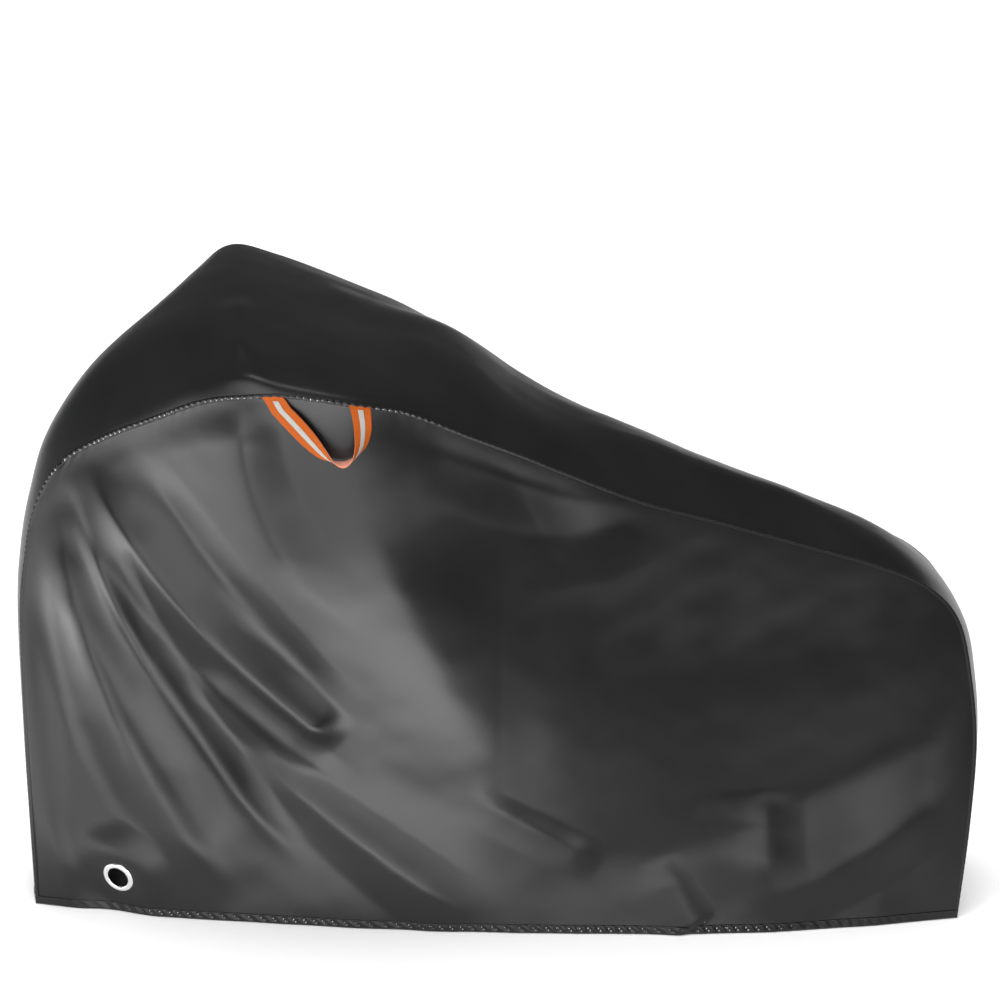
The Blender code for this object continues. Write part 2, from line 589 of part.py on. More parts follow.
def build_eyelet_strip():
    """The strip of the left panel's front corner, with the hole cut in it."""
    columns = np.linspace(0.0, STRIP_COLUMNS / SIDE_COLUMNS,
                          STRIP_COLUMNS * STRIP_FINER + 1)
    rows = np.linspace(0.0, STRIP_ROWS / SIDE_ROWS, STRIP_ROWS * STRIP_FINER + 1)
    points = left_surface(*np.meshgrid(columns, rows))
    points[-1] = straight_steps(points[-1])
    points[:, 0] = straight_steps(points[:, 0])
    points[:, -1] = straight_steps(points[:, -1])
    points = draw_back(points, ("front", "rear", "top"), STRIP_GAP)
    strip = sheet_object("eyelet_strip", points, lambda place: Vector((0.0, -1.0, 0.0)),
                         CLOTH, -1.0, BLACK_CLOTH, CLOTH_ROUGHNESS)
    centre, axis = eyelet_seat()
    form = bmesh.new()
    radius = 0.001 * EYELET_SECTION[0][0] + EYELET_CLEAR
    bmesh.ops.create_cone(form, cap_ends=True, segments=EYELET_STEPS, radius1=radius,
                          radius2=radius, depth=EYELET_CUT_DEPTH)
    mesh = bpy.data.meshes.new("eyelet_cut")
    form.to_mesh(mesh)
    form.free()
    cutter = bpy.data.objects.new("eyelet_cut", mesh)
    cutter.matrix_world = Matrix.Translation(centre) @ turned_to(axis)
    cutter.hide_render = True
    cutter.display_type = "WIRE"
    CUTTERS.objects.link(cutter)
    hole = strip.modifiers.new("hole", "BOOLEAN")
    hole.operation = "DIFFERENCE"
    hole.solver = "EXACT"
    hole.object = cutter


def turned_to(axis):
    """Turn that brings +Z to this axis."""
    return axis.to_track_quat("Z", "Y").to_matrix().to_4x4()


def build_eyelet():
    """The metal eyelet: its section turned round the axis of its seat."""
    form = bmesh.new()
    points = [form.verts.new((0.001 * r, 0.0, 0.001 * h)) for r, h in EYELET_SECTION]
    for start, end in zip(points, points[1:] + points[:1]):
        form.edges.new((start, end))
    ring = object_of("eyelet", form, STEEL, STEEL_ROUGHNESS, 1.0)
    turn = ring.modifiers.new("turn", "SCREW")
    turn.steps = turn.render_steps = EYELET_STEPS
    turn.use_merge_vertices = True
    turn.merge_threshold = EYELET_MERGE
    centre, axis = eyelet_seat()
    ring.matrix_world = Matrix.Translation(centre) @ turned_to(axis)


def left_seam_at(x):
    """Height and outward distance of the left seam at a length on the top."""
    first, last = (row_number(BAND_ROWS, name) for name in (FRONT_CORNER, REAR_CORNER))
    seam = seam_point(np.linspace(first, last, SEAM_STEPS + 1), -1)
    return np.interp(x, seam[:, 0], seam[:, 2]), -np.interp(x, seam[:, 0], seam[:, 1])


def strap_surface(station, share):
    """Point of the carrying loop's middle surface, share 0 at its inner edge.

    Both edges are smooth curves through the rows of the table; at the two
    ends they are drawn up to the seam.
    """
    row = smooth_rows(STRAP_COLUMNS, STRAP_ROWS, station)
    x, z, out = (row["inner_" + way] + share * (row["outer_" + way] - row["inner_" + way])
                 for way in ("x", "z", "out"))
    seam_z, seam_out = left_seam_at(x)
    last = len(STRAP_ROWS) - 1
    caught = 1.0 - smooth_step(np.minimum(station, last - station))
    z = z + caught * (seam_z - SEAM_GAP - z)
    out = out + caught * (seam_out + SEAM_GAP + 0.5 * WEBBING - out)
    return np.stack([x, -out, z], -1)


def build_strap():
    """The carrying loop's webbing, and the reflecting tape along its face.

    The tape is the middle strip of the webbing's grid, set off along the
    grid's upright directions and a step short of the loop's two ends.
    """
    last = len(STRAP_ROWS) - 1
    station = np.linspace(0.0, last, last * STRAP_STEPS + 1)
    share = np.array([0.0, *TAPE_SHARE, 1.0])
    points = strap_surface(*np.meshgrid(station, share, indexing="ij"))
    front = lambda place: Vector((0.0, -1.0, 0.0))
    sheet_object("strap_webbing", points, front, WEBBING, 0.0, ORANGE, WEBBING_ROUGHNESS)
    face = np.cross(np.gradient(points, axis=1), np.gradient(points, axis=0))
    face /= np.linalg.norm(face, axis=-1, keepdims=True)
    face *= -np.sign(face[:1, :, 1:2])
    tape = (points + (0.5 * WEBBING + TAPE_GAP) * face)[1:-1, 1:-1]
    sheet_object("strap_tape", tape, front, TAPE, 1.0, REFLECTOR, TAPE_ROUGHNESS)


for item in list(bpy.data.objects):
    bpy.data.objects.remove(item)
COVER = new_collection("bicycle_cover")
CUTTERS = new_collection("cutters")
build_top_panel()
build_side_panels()
build_eyelet_strip()
build_eyelet()
build_strap()
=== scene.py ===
"""Looks of a fitted bicycle cover: black coated cloth, a metal eyelet and a webbing loop."""

import bpy
import numpy as np
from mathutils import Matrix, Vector


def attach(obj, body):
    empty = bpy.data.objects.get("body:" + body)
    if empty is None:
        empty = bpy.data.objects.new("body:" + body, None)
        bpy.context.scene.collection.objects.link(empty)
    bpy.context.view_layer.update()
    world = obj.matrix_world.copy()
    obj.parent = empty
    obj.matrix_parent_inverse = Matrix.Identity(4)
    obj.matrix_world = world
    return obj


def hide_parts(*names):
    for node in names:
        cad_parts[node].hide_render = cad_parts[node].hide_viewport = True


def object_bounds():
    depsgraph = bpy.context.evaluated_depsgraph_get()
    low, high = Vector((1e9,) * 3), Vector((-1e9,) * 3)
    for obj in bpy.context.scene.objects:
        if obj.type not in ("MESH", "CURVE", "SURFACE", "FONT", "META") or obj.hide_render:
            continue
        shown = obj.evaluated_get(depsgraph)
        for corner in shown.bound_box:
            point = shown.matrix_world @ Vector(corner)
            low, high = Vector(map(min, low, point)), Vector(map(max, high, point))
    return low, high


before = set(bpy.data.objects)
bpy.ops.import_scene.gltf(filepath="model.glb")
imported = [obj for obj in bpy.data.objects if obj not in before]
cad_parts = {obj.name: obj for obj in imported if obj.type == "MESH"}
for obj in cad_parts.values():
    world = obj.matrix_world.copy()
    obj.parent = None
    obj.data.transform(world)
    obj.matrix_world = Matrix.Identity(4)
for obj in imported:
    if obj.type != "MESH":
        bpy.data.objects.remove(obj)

cad_low, cad_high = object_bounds()


# ---- Top panel -------------------------------------------
# One band of polyester cloth, coated black outside and silver inside.  It is cut as a long strip,
# wide over the peak and narrow at both ends, runs from the front hem over the top to the rear hem,
# and is sewn to the side panels along both edges.

# The seam and the crown of the band, row by row from the front hem to the rear hem.  square says
# how squarely the cloth bends down to its seams, and wall is the share of its height by which it
# stands upright over them; skew and lean move the right seam forward and up.
BAND_COLUMNS = ("name", "seam_x", "seam_z", "half_width", "crown_x", "crown_z",
                "square", "wall", "skew", "lean")
BAND_ROWS = (
    ("front hem",    -0.908, 0.000, 0.093, -0.921, 0.000, 2.6, 0.00, 0.000, 0.000),
    ("front foot",   -0.910, 0.190, 0.085, -0.922, 0.190, 2.6, 0.00, 0.000, 0.000),
    ("front low",    -0.910, 0.370, 0.080, -0.922, 0.372, 2.6, 0.00, 0.000, 0.000),
    ("front middle", -0.904, 0.600, 0.080, -0.918, 0.605, 2.6, 0.00, 0.000, 0.000),
    ("front high",   -0.888, 0.720, 0.081, -0.905, 0.730, 2.6, 0.00, 0.000, 0.000),
    ("front bend",   -0.862, 0.824, 0.087, -0.882, 0.835, 2.4, 0.00, 0.000, 0.000),
    ("corner",       -0.805, 0.918, 0.108, -0.843, 0.948, 2.3, 0.00, 0.000, 0.003),
    ("brow",         -0.712, 0.986, 0.160, -0.758, 1.068, 2.3, 0.04, 0.004, 0.008),
    ("front slope",  -0.606, 1.045, 0.225, -0.645, 1.158, 2.4, 0.14, 0.016, 0.020),
    ("peak front",   -0.518, 1.092, 0.283, -0.562, 1.196, 2.6, 0.32, 0.030, 0.034),
    ("peak",         -0.440, 1.111, 0.317, -0.482, 1.212, 2.8, 0.55, 0.040, 0.040),
    ("peak rear",    -0.365, 1.115, 0.325, -0.396, 1.196, 2.7, 0.30, 0.034, 0.036),
    ("high slope",   -0.254, 1.098, 0.320, -0.268, 1.158, 2.7, 0.22, 0.016, 0.018),
    ("high back",    -0.160, 1.073, 0.290, -0.165, 1.130, 2.8, 0.12, 0.006, 0.010),
    ("back hump",    -0.060, 1.021, 0.254, -0.062, 1.090, 3.0, 0.00, 0.002, 0.004),
    ("upper back",    0.040, 0.972, 0.224,  0.042, 1.030, 2.8, 0.00, 0.000, 0.000),
    ("back hollow",   0.130, 0.926, 0.200,  0.134, 0.985, 2.7, 0.00, 0.000, 0.000),
    ("middle back",   0.260, 0.865, 0.171,  0.266, 0.930, 2.6, 0.00, 0.000, 0.000),
    ("lower back",    0.400, 0.817, 0.145,  0.408, 0.872, 2.5, 0.00, 0.000, 0.000),
    ("long slope",    0.560, 0.765, 0.127,  0.572, 0.808, 2.5, 0.00, 0.000, 0.000),
    ("slope end",     0.700, 0.719, 0.114,  0.716, 0.744, 2.5, 0.00, 0.000, 0.000),
    ("rear brow",     0.800, 0.672, 0.106,  0.823, 0.662, 2.5, 0.00, 0.000, 0.000),
    ("rear corner",   0.862, 0.600, 0.101,  0.886, 0.575, 2.5, 0.00, 0.000, 0.000),
    ("rear bend",     0.892, 0.480, 0.104,  0.912, 0.465, 2.5, 0.00, 0.000, 0.000),
    ("rear middle",   0.907, 0.350, 0.111,  0.922, 0.345, 2.5, 0.00, 0.000, 0.000),
    ("rear foot",     0.902, 0.180, 0.125,  0.918, 0.178, 2.5, 0.00, 0.000, 0.000),
    ("rear hem",      0.885, 0.000, 0.150,  0.900, 0.000, 2.5, 0.00, 0.000, 0.000),
)
BAND_END = len(BAND_ROWS) - 1
WALL_POWER = 80.0
FRONT_CORNER = 6
REAR_CORNER = 22

# A fold is a crest (lift above 0) or a trough (below 0) along a curve bent from start over its
# middle point to foot.  It reaches fore_start to fore_foot to its front or lower side, and
# aft_start to aft_foot to its rear or upper side.  ease_in and ease_out are the shares of its
# length over which it rises and dies away, and rounding is how far the bend of its crest reaches.
FOLD_COLUMNS = ("name", "start_x", "start_z", "middle_x", "middle_z", "foot_x", "foot_z", "lift",
                "fore_start", "fore_foot", "aft_start", "aft_foot", "ease_in", "ease_out",
                "rounding")

# Folds of the band, seen from above: z stands for y.  They die away towards its seams.
TOP_FOLDS = (
    ("long ridge", 0.12, -0.05, 0.42, -0.03, 0.76, -0.02,
     0.008, 0.070, 0.050, 0.080, 0.060, 0.30, 0.30, 0.015),
    ("long trough", 0.05, -0.13, 0.35, -0.09, 0.69, -0.06,
     -0.006, 0.070, 0.050, 0.070, 0.050, 0.30, 0.30, 0.020),
    ("shoulder ridge", -0.478, -0.02, -0.462, -0.16, -0.452, -0.30,
     0.009, 0.050, 0.050, 0.030, 0.030, 0.25, 0.30, 0.006),
    ("peak ridge", -0.38, 0.13, -0.24, 0.09, -0.10, 0.03,
     0.007, 0.100, 0.080, 0.080, 0.060, 0.30, 0.30, 0.020),
    ("back hump", -0.12, -0.18, -0.11, 0.03, -0.13, 0.22,
     0.010, 0.100, 0.100, 0.100, 0.100, 0.35, 0.30, 0.040),
    ("back hollow", 0.07, -0.15, 0.08, 0.02, 0.08, 0.17,
     -0.007, 0.100, 0.100, 0.120, 0.120, 0.35, 0.30, 0.040),
)
FOLD_POWER = 1.35

# Unevenness of loose cloth: its height, its longest and shortest waves, and their number.
SLACK_HEIGHT = 0.0016
SLACK_LONGEST = 0.30
TOP_SLACK_SHORTEST = 0.07
SLACK_WAVES = 14
TOP_SLACK_SEED = 5

# Rows of the band between which its folds lie, and the share of its half width over which they die
# away towards its seams.
TOP_FOLD_FIRST_ROW = 7
TOP_FOLD_LAST_ROW = 20
TOP_FOLD_FREE = 0.30

CLOTH_THICKNESS = 0.0016
BAND_STATIONS = 620
BAND_ACROSS = 80


def soft_step(share):
    """Step from 0 to 1 with level ends: 3 share squared less 2 share cubed."""
    share = np.clip(share, 0.0, 1.0)
    return share * share * (3.0 - 2.0 * share)


def table_at(columns, rows, station):
    """Named values of a table at fractional row numbers.

    Each column is a cubic through its rows whose slope at a row is half the difference between
    the rows on either side of it.
    """
    values = np.array([row[1:] for row in rows], dtype=float)
    slopes = np.gradient(values, axis=0)
    station = np.clip(np.asarray(station, dtype=float), 0.0, len(rows) - 1.0)
    low = np.minimum(station.astype(int), len(rows) - 2)
    part = (station - low)[..., None]
    start, end = values[low], values[low + 1]
    rise = end - start
    bend_in = slopes[low] - rise
    bend_out = rise - slopes[low + 1]
    result = (start + part * rise
              + part * (1.0 - part) * ((1.0 - part) * bend_in + part * bend_out))
    return dict(zip(columns[1:], np.moveaxis(result, -1, 0)))


def nearest_on_fold(x, z, fold, steps=24, turns=5):
    """Share along a fold's curve nearest to points, the curve's direction and the way there.

    The search starts from the nearest of some even places and goes on by Newton's rule until the
    way to the point is square to the curve.
    """
    start, middle, foot = (np.array([fold[place + "_x"], fold[place + "_z"]])
                           for place in ("start", "middle", "foot"))
    bend = 2.0 * middle - 0.5 * (start + foot)
    turn = 2.0 * (foot - 2.0 * bend + start)
    place = lambda t: (1 - t) ** 2 * start + 2 * t * (1 - t) * bend + t ** 2 * foot
    slope = lambda t: 2.0 * (1 - t) * (bend - start) + 2.0 * t * (foot - bend)
    dot = lambda a, b: np.sum(a * b, axis=-1, keepdims=True)
    point = np.stack([x, z], -1)
    even = np.linspace(0.0, 1.0, steps + 1)[:, None]
    near = np.argmin(np.linalg.norm(point[..., None, :] - place(even), axis=-1), axis=-1)
    share = even[near]
    for _ in range(turns):
        way, tangent = place(share) - point, slope(share)
        square = dot(tangent, tangent)
        share = share - dot(way, tangent) / np.maximum(square + dot(way, turn), 0.3 * square)
        share = np.clip(share, 0.0, 1.0)
    return share[..., 0], slope(share), point - place(share)


def fold_height(x, z, row):
    """Height of one fold: 1 - distance / reach to the fold's power across its curve, as cloth
    hangs down from a crest, with one reach to each side, the crest rounded, eased in and out
    along it.
    """
    fold = dict(zip(FOLD_COLUMNS, row))
    along, tangent, way = nearest_on_fold(x, z, fold)
    aft = tangent[..., 0] * way[..., 1] - tangent[..., 1] * way[..., 0] >= 0.0
    reach = np.where(aft, fold["aft_start"] + (fold["aft_foot"] - fold["aft_start"]) * along,
                     fold["fore_start"] + (fold["fore_foot"] - fold["fore_start"]) * along)
    distance = np.hypot(np.linalg.norm(way, axis=-1), fold["rounding"]) - fold["rounding"]
    bell = np.clip(1.0 - distance / reach, 0.0, 1.0) ** FOLD_POWER
    ease = soft_step(along / fold["ease_in"]) * soft_step((1.0 - along) / fold["ease_out"])
    return fold["lift"] * bell * ease


def slack(first, second, seed, shortest):
    """Unevenness of loose cloth: a sum of plane waves in all directions, each as high for its
    length as the others, with lengths from the longest to the shortest."""
    draw = np.random.default_rng(seed)
    turn = draw.uniform(0.0, np.pi, SLACK_WAVES)
    start = draw.uniform(0.0, 2.0 * np.pi, SLACK_WAVES)
    length = np.geomspace(SLACK_LONGEST, shortest, SLACK_WAVES)
    total = np.zeros(np.shape(first))
    for k in range(SLACK_WAVES):
        run = (first * np.cos(turn[k]) + second * np.sin(turn[k])) * 2.0 * np.pi / length[k]
        total = total + length[k] / SLACK_LONGEST * np.sin(run + start[k])
    return SLACK_HEIGHT * total / np.sqrt(SLACK_WAVES)


def band_surface(station, across):
    """Point of the band: from -1 at the left seam to +1 at the right the cloth rises to its crown
    by 1 - |across| to the power of square, but for the share of its wall, where a high power of
    |across| makes it upright, and its own folds lift it between them."""
    row = table_at(BAND_COLUMNS, BAND_ROWS, station)
    off = np.abs(across)
    arch = 1.0 - (1.0 - row["wall"]) * off ** row["square"] - row["wall"] * off ** WALL_POWER
    right = across + 1.0
    x = (row["seam_x"] - row["skew"] * right
         + (row["crown_x"] - row["seam_x"] + row["skew"]) * arch)
    y = row["half_width"] * across
    z = (row["seam_z"] + row["lean"] * right
         + (row["crown_z"] - row["seam_z"] - row["lean"]) * arch)
    free = (soft_step(station - TOP_FOLD_FIRST_ROW) * soft_step(TOP_FOLD_LAST_ROW - station)
            * soft_step((1.0 - np.abs(across)) / TOP_FOLD_FREE))
    z = z + free * sum(fold_height(x, y, fold) for fold in TOP_FOLDS)
    z = z + free * slack(x, y, TOP_SLACK_SEED, TOP_SLACK_SHORTEST)
    return np.stack([x, y, z], -1)


def face_normals(points, outward):
    """Unit normals of a grid: the cross product of its two directions, turned to the side that
    outward points to over the grid as a whole."""
    normal = np.cross(np.gradient(points, axis=1), np.gradient(points, axis=0))
    normal /= np.maximum(np.linalg.norm(normal, axis=-1, keepdims=True), 1e-12)
    return normal * np.sign(np.sum(normal * outward))


def cloth_lengths(points):
    """Place of every point of a grid in metres of cloth: the lengths run along its middle lines."""
    along = np.linalg.norm(np.diff(points, axis=0), axis=-1).mean(axis=1)
    across = np.linalg.norm(np.diff(points, axis=1), axis=-1)
    first = np.concatenate([[0.0], np.cumsum(along)])
    second = np.concatenate([np.zeros((len(points), 1)), np.cumsum(across, axis=1)], axis=1)
    second -= second[:, -1:] * 0.5
    return np.stack([np.broadcast_to(first[:, None], second.shape), second], -1)


def face_ways(points, faces):
    """The way that each face points, by the cross product of its first two edges."""
    a, b, c = (points[..., faces[:, k], :] for k in range(3))
    return np.cross(b - a, c - a)


def sheet_mesh(name, points, outward, thickness, lift=0.0):
    """Closed mesh of a sheet: its face, and its back with every second point.

    Quads join the neighbours in each layer, and three triangles close the rim at every edge of
    the back.  The attribute inner is 1 on the back, and the UV map is in metres of cloth.
    """
    normal = face_normals(points, outward)
    face = points + lift * normal
    back = (face - thickness * normal)[::2, ::2]
    place = np.concatenate([cloth_lengths(points).reshape(-1, 2),
                            cloth_lengths(points)[::2, ::2].reshape(-1, 2)])
    number = np.arange(face[..., 0].size).reshape(face.shape[:2])
    under = face[..., 0].size + np.arange(back[..., 0].size).reshape(back.shape[:2])
    quads = lambda n: np.stack([n[:-1, :-1], n[:-1, 1:], n[1:, 1:], n[1:, :-1]], -1).reshape(-1, 4)
    front = quads(number)
    behind = quads(under)[:, ::-1]
    ring = lambda n: np.concatenate([n[0, :-1], n[:-1, -1], n[-1, :0:-1], n[:0:-1, 0]])
    rim, low = ring(number), ring(under)
    middle, after, low_after = rim[1::2], np.roll(rim[::2], -1), np.roll(low, -1)
    sides = np.concatenate([np.stack([rim[::2], low, middle], -1),
                            np.stack([middle, low, low_after], -1),
                            np.stack([middle, low_after, after], -1)])
    if np.sum(face_ways(points.reshape(-1, 3), front) * normal[:-1, :-1].reshape(-1, 3)) < 0.0:
        front, behind, sides = front[:, ::-1], behind[:, ::-1], sides[:, ::-1]
    mesh = bpy.data.meshes.new(name)
    coordinates = np.concatenate([face.reshape(-1, 3), back.reshape(-1, 3)])
    mesh.from_pydata(coordinates, [], [*front.tolist(), *behind.tolist(), *sides.tolist()])
    inner = mesh.attributes.new("inner", "FLOAT", "POINT")
    inner.data.foreach_set("value", (np.arange(len(coordinates)) >= face[..., 0].size)
                           .astype(np.float32))
    loop_vertex = np.zeros(len(mesh.loops), np.int32)
    mesh.loops.foreach_get("vertex_index", loop_vertex)
    mesh.uv_layers.new(name="cloth").data.foreach_set(
        "uv", place[loop_vertex].astype(np.float32).ravel())
    mesh.shade_smooth()
    return mesh


def place_piece(name, mesh, material, replaced=()):
    """Links a mesh into the scene as a piece of the cover, in place of its plain solids."""
    piece = bpy.data.objects.new(name, mesh)
    bpy.context.scene.collection.objects.link(piece)
    mesh.materials.append(material)
    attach(piece, "root")
    if replaced:
        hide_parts(*replaced)
    return piece


class Flow:
    """One output socket of a material, so that its maths can be written as plain sums."""

    def __init__(self, tree, output=None):
        self.tree = tree
        self.output = output

    def node(self, kind, settings, sockets, output=0):
        """Adds a node: its settings first, then the values or links of its sockets."""
        made = self.tree.nodes.new(kind)
        for name, value in settings.items():
            setattr(made, name, value)
        for name, value in sockets.items():
            if isinstance(value, Flow):
                self.tree.links.new(value.output, made.inputs[name])
            else:
                made.inputs[name].default_value = value
        return Flow(self.tree, made.outputs[output])

    def feed(self, shader, name):
        """Links this output to a socket of a shader."""
        self.tree.links.new(self.output, shader.inputs[name])

    def maths(self, operation, first, second=0.0):
        return self.node("ShaderNodeMath", {"operation": operation}, {0: first, 1: second})

    def __add__(self, other):
        return self.maths("ADD", self, other)

    def __sub__(self, other):
        return self.maths("SUBTRACT", self, other)

    def __rsub__(self, other):
        return self.maths("SUBTRACT", other, self)

    def __mul__(self, other):
        return self.maths("MULTIPLY", self, other)

    __radd__ = __add__
    __rmul__ = __mul__

    def blend(self, low, high):
        """Colour between low and high, with this output as the share of high."""
        return self.node("ShaderNodeMix", {"data_type": "RGBA"},
                         {0: self, 6: low, 7: high}, output=2)

    def between(self, low, high):
        """This output as a share from 0 at low to 1 at high."""
        return self.node("ShaderNodeMapRange", {"interpolation_type": "SMOOTHSTEP"},
                         {"Value": self, "From Min": low, "From Max": high})

    def noise(self, place, scale, detail, distortion=0.0):
        """Noise at a place, with so many patches a metre."""
        return self.node("ShaderNodeTexNoise", {}, {"Vector": place, "Scale": scale,
                                                    "Detail": detail, "Distortion": distortion})

    def raise_in(self, shader, strength, distance):
        """Makes this output the relief of a shader's surface."""
        self.node("ShaderNodeBump", {}, {"Height": self, "Strength": strength,
                                         "Distance": distance}).feed(shader, "Normal")


def new_material(name):
    """A named material, its principled shader and the flow that adds nodes to it."""
    material = bpy.data.materials.new(name)
    material.use_nodes = True
    tree = material.node_tree
    return material, tree.nodes["Principled BSDF"], Flow(tree)


# The outside is a tight weave under a thin black coating, which leaves a fine grain; the inside
# has a bright silver coating, which shows the weave more plainly.
COATING_BLACK = (0.0035, 0.0035, 0.0037, 1.0)
COATING_WORN = (0.0060, 0.0060, 0.0062, 1.0)
COATING_SILVER = (0.42, 0.43, 0.44, 1.0)
COATING_ROUGHNESS = 0.32
SILVER_ROUGHNESS = 0.45
SILVER_METALLIC = 0.7
THREADS_A_METRE = 900.0
GRAIN_A_METRE = 320.0
CRINKLES_A_METRE = 42.0
RUBBED_A_METRE = 7.0

cloth, shader, flow = new_material("coated_cloth")
place = flow.node("ShaderNodeUVMap", {"uv_map": "cloth"}, {})
inner = flow.node("ShaderNodeAttribute", {"attribute_name": "inner"}, {}, output=2)
inner = inner.between(0.4, 0.6)
warp_way = flow.node("ShaderNodeSeparateXYZ", {}, {0: place})
weft_way = flow.node("ShaderNodeSeparateXYZ", {}, {0: place}, output=1)
warp = flow.maths("SINE", warp_way * (THREADS_A_METRE * 2.0 * np.pi))
weft = flow.maths("SINE", weft_way * (THREADS_A_METRE * 2.0 * np.pi))
weave = warp * weft
grain = flow.noise(place, GRAIN_A_METRE, 3.0)
rubbed = flow.noise(place, RUBBED_A_METRE, 5.0)
crinkle = flow.noise(place, CRINKLES_A_METRE, 4.0, 0.6)
black = (rubbed * 0.6 + grain * 0.4).between(0.35, 0.75).blend(COATING_BLACK, COATING_WORN)
inner.blend(black, COATING_SILVER).feed(shader, "Base Color")
rough = COATING_ROUGHNESS + (rubbed - 0.5) * 0.10 + (grain - 0.5) * 0.10
(rough + inner * (SILVER_ROUGHNESS - COATING_ROUGHNESS)).feed(shader, "Roughness")
(inner * SILVER_METALLIC).feed(shader, "Metallic")
relief = weave * 0.25 + grain * 0.6 + crinkle * 0.5
relief.raise_in(shader, 0.20, 0.0006)
shader.inputs["Specular IOR Level"].default_value = 0.36

band_grid = np.meshgrid(np.linspace(0.0, BAND_END, BAND_STATIONS + 1),
                        -np.cos(np.linspace(0.0, np.pi, BAND_ACROSS + 1)), indexing="ij")
band_points = band_surface(*band_grid)
band_middle = np.array([0.0, 0.0, 0.5 * band_points[..., 2].max()])
band_way = band_points - band_middle
top = place_piece("top_cloth", sheet_mesh("top_cloth", band_points, band_way, CLOTH_THICKNESS,
                                          lift=0.5 * CLOTH_THICKNESS),
                  cloth, ["top_panel"])


# ---- Left side panel -------------------------------------
# The near side: one shaped piece of the same cloth, sewn along its front, top and rear edges and
# hemmed below.  It hangs from the peak in long slanting folds, is drawn in over the hem, and is
# laid flat round the eyelet in its lower front corner.

# How far the hem stands out from the middle, along its length.
HEM_COLUMNS = ("name", "x", "out")
HEM_ROWS = (
    ("front corner",  -0.908, 0.093),
    ("eyelet",        -0.740, 0.133),
    ("front quarter", -0.580, 0.157),
    ("front middle",  -0.350, 0.180),
    ("middle",        -0.040, 0.206),
    ("rear middle",    0.270, 0.214),
    ("rear quarter",   0.500, 0.207),
    ("rear end",       0.730, 0.180),
    ("rear corner",    0.885, 0.150),
)

# The cloth is drawn in over the hem and flares out to it: how high the waist lies, how deep, and
# the rise above it over which the cloth goes back.
FLARE_COLUMNS = ("name", "x", "height", "depth", "rise")
FLARE_ROWS = (
    ("front corner",  -0.91, 0.30, 0.000, 0.55),
    ("eyelet",        -0.74, 0.30, 0.010, 0.55),
    ("front quarter", -0.58, 0.30, 0.050, 0.55),
    ("front middle",  -0.35, 0.30, 0.075, 0.60),
    ("middle",         0.00, 0.22, 0.065, 0.60),
    ("rear middle",    0.20, 0.15, 0.042, 0.50),
    ("rear quarter",   0.38, 0.15, 0.034, 0.45),
    ("facet",          0.52, 0.21, 0.044, 0.38),
    ("rear end",       0.70, 0.27, 0.040, 0.30),
    ("rear corner",    0.89, 0.40, 0.012, 0.18),
)
FLARE_ROUNDING = 0.20

# Main folds of the near side, seen from the side.
LEFT_FOLDS = (
    ("edge trough", -0.875, 0.76, -0.82, 0.43, -0.68, 0.10,
     -0.020, 0.120, 0.200, 0.050, 0.060, 0.30, 0.20, 0.020),
    ("first crest", -0.815, 0.87, -0.725, 0.44, -0.50, 0.03,
     0.040, 0.090, 0.130, 0.095, 0.110, 0.30, 0.20, 0.012),
    ("first hollow", -0.80, 0.82, -0.665, 0.52, -0.47, 0.16,
     -0.011, 0.080, 0.100, 0.020, 0.030, 0.30, 0.30, 0.008),
    ("second crest", -0.78, 0.92, -0.63, 0.485, -0.37, 0.11,
     0.036, 0.045, 0.110, 0.065, 0.040, 0.30, 0.25, 0.008),
    ("long crest", -0.76, 0.94, -0.545, 0.635, -0.29, 0.385,
     0.046, 0.060, 0.110, 0.110, 0.045, 0.25, 0.12, 0.008),
    ("long hollow", -0.68, 0.96, -0.50, 0.74, -0.29, 0.45,
     -0.012, 0.085, 0.060, 0.060, 0.040, 0.25, 0.20, 0.012),
    ("side crest", -0.57, 0.54, -0.45, 0.42, -0.27, 0.26,
     0.018, 0.050, 0.070, 0.045, 0.040, 0.30, 0.40, 0.008),
    ("low crest", -0.48, 0.36, -0.30, 0.21, -0.04, 0.02,
     0.022, 0.060, 0.090, 0.045, 0.060, 0.30, 0.20, 0.010),
    ("peak crest", -0.445, 1.12, -0.42, 0.87, -0.24, 0.63,
     0.024, 0.190, 0.240, 0.060, 0.090, 0.05, 0.40, 0.012),
    ("keel", -0.29, 1.09, -0.13, 0.59, 0.17, 0.08,
     0.048, 0.480, 0.620, 0.200, 0.290, 0.35, 0.40, 0.050),
    ("keel tail", -0.07, 0.29, 0.06, 0.21, 0.20, 0.13,
     0.009, 0.050, 0.050, 0.030, 0.030, 0.35, 0.20, 0.010),
    ("seam trough", -0.20, 1.06, 0.00, 0.94, 0.24, 0.87,
     -0.012, 0.070, 0.090, 0.060, 0.080, 0.30, 0.30, 0.020),
    ("sweep crest", -0.18, 0.97, 0.08, 0.82, 0.28, 0.87,
     0.012, 0.100, 0.080, 0.080, 0.070, 0.35, 0.30, 0.020),
    ("low rear crest", 0.41, 0.05, 0.66, 0.13, 0.89, 0.30,
     0.016, 0.070, 0.080, 0.110, 0.130, 0.30, 0.30, 0.020),
    ("facet edge", 0.51, 0.27, 0.505, 0.17, 0.51, 0.05,
     0.017, 0.160, 0.180, 0.070, 0.080, 0.35, 0.40, 0.010),
    ("hem pucker", 0.31, 0.15, 0.34, 0.08, 0.38, 0.01,
     0.010, 0.070, 0.080, 0.030, 0.040, 0.40, 0.10, 0.010),
    ("eyelet crest", -0.89, 0.24, -0.84, 0.09, -0.68, 0.03,
     0.010, 0.050, 0.060, 0.030, 0.045, 0.35, 0.35, 0.010),
)

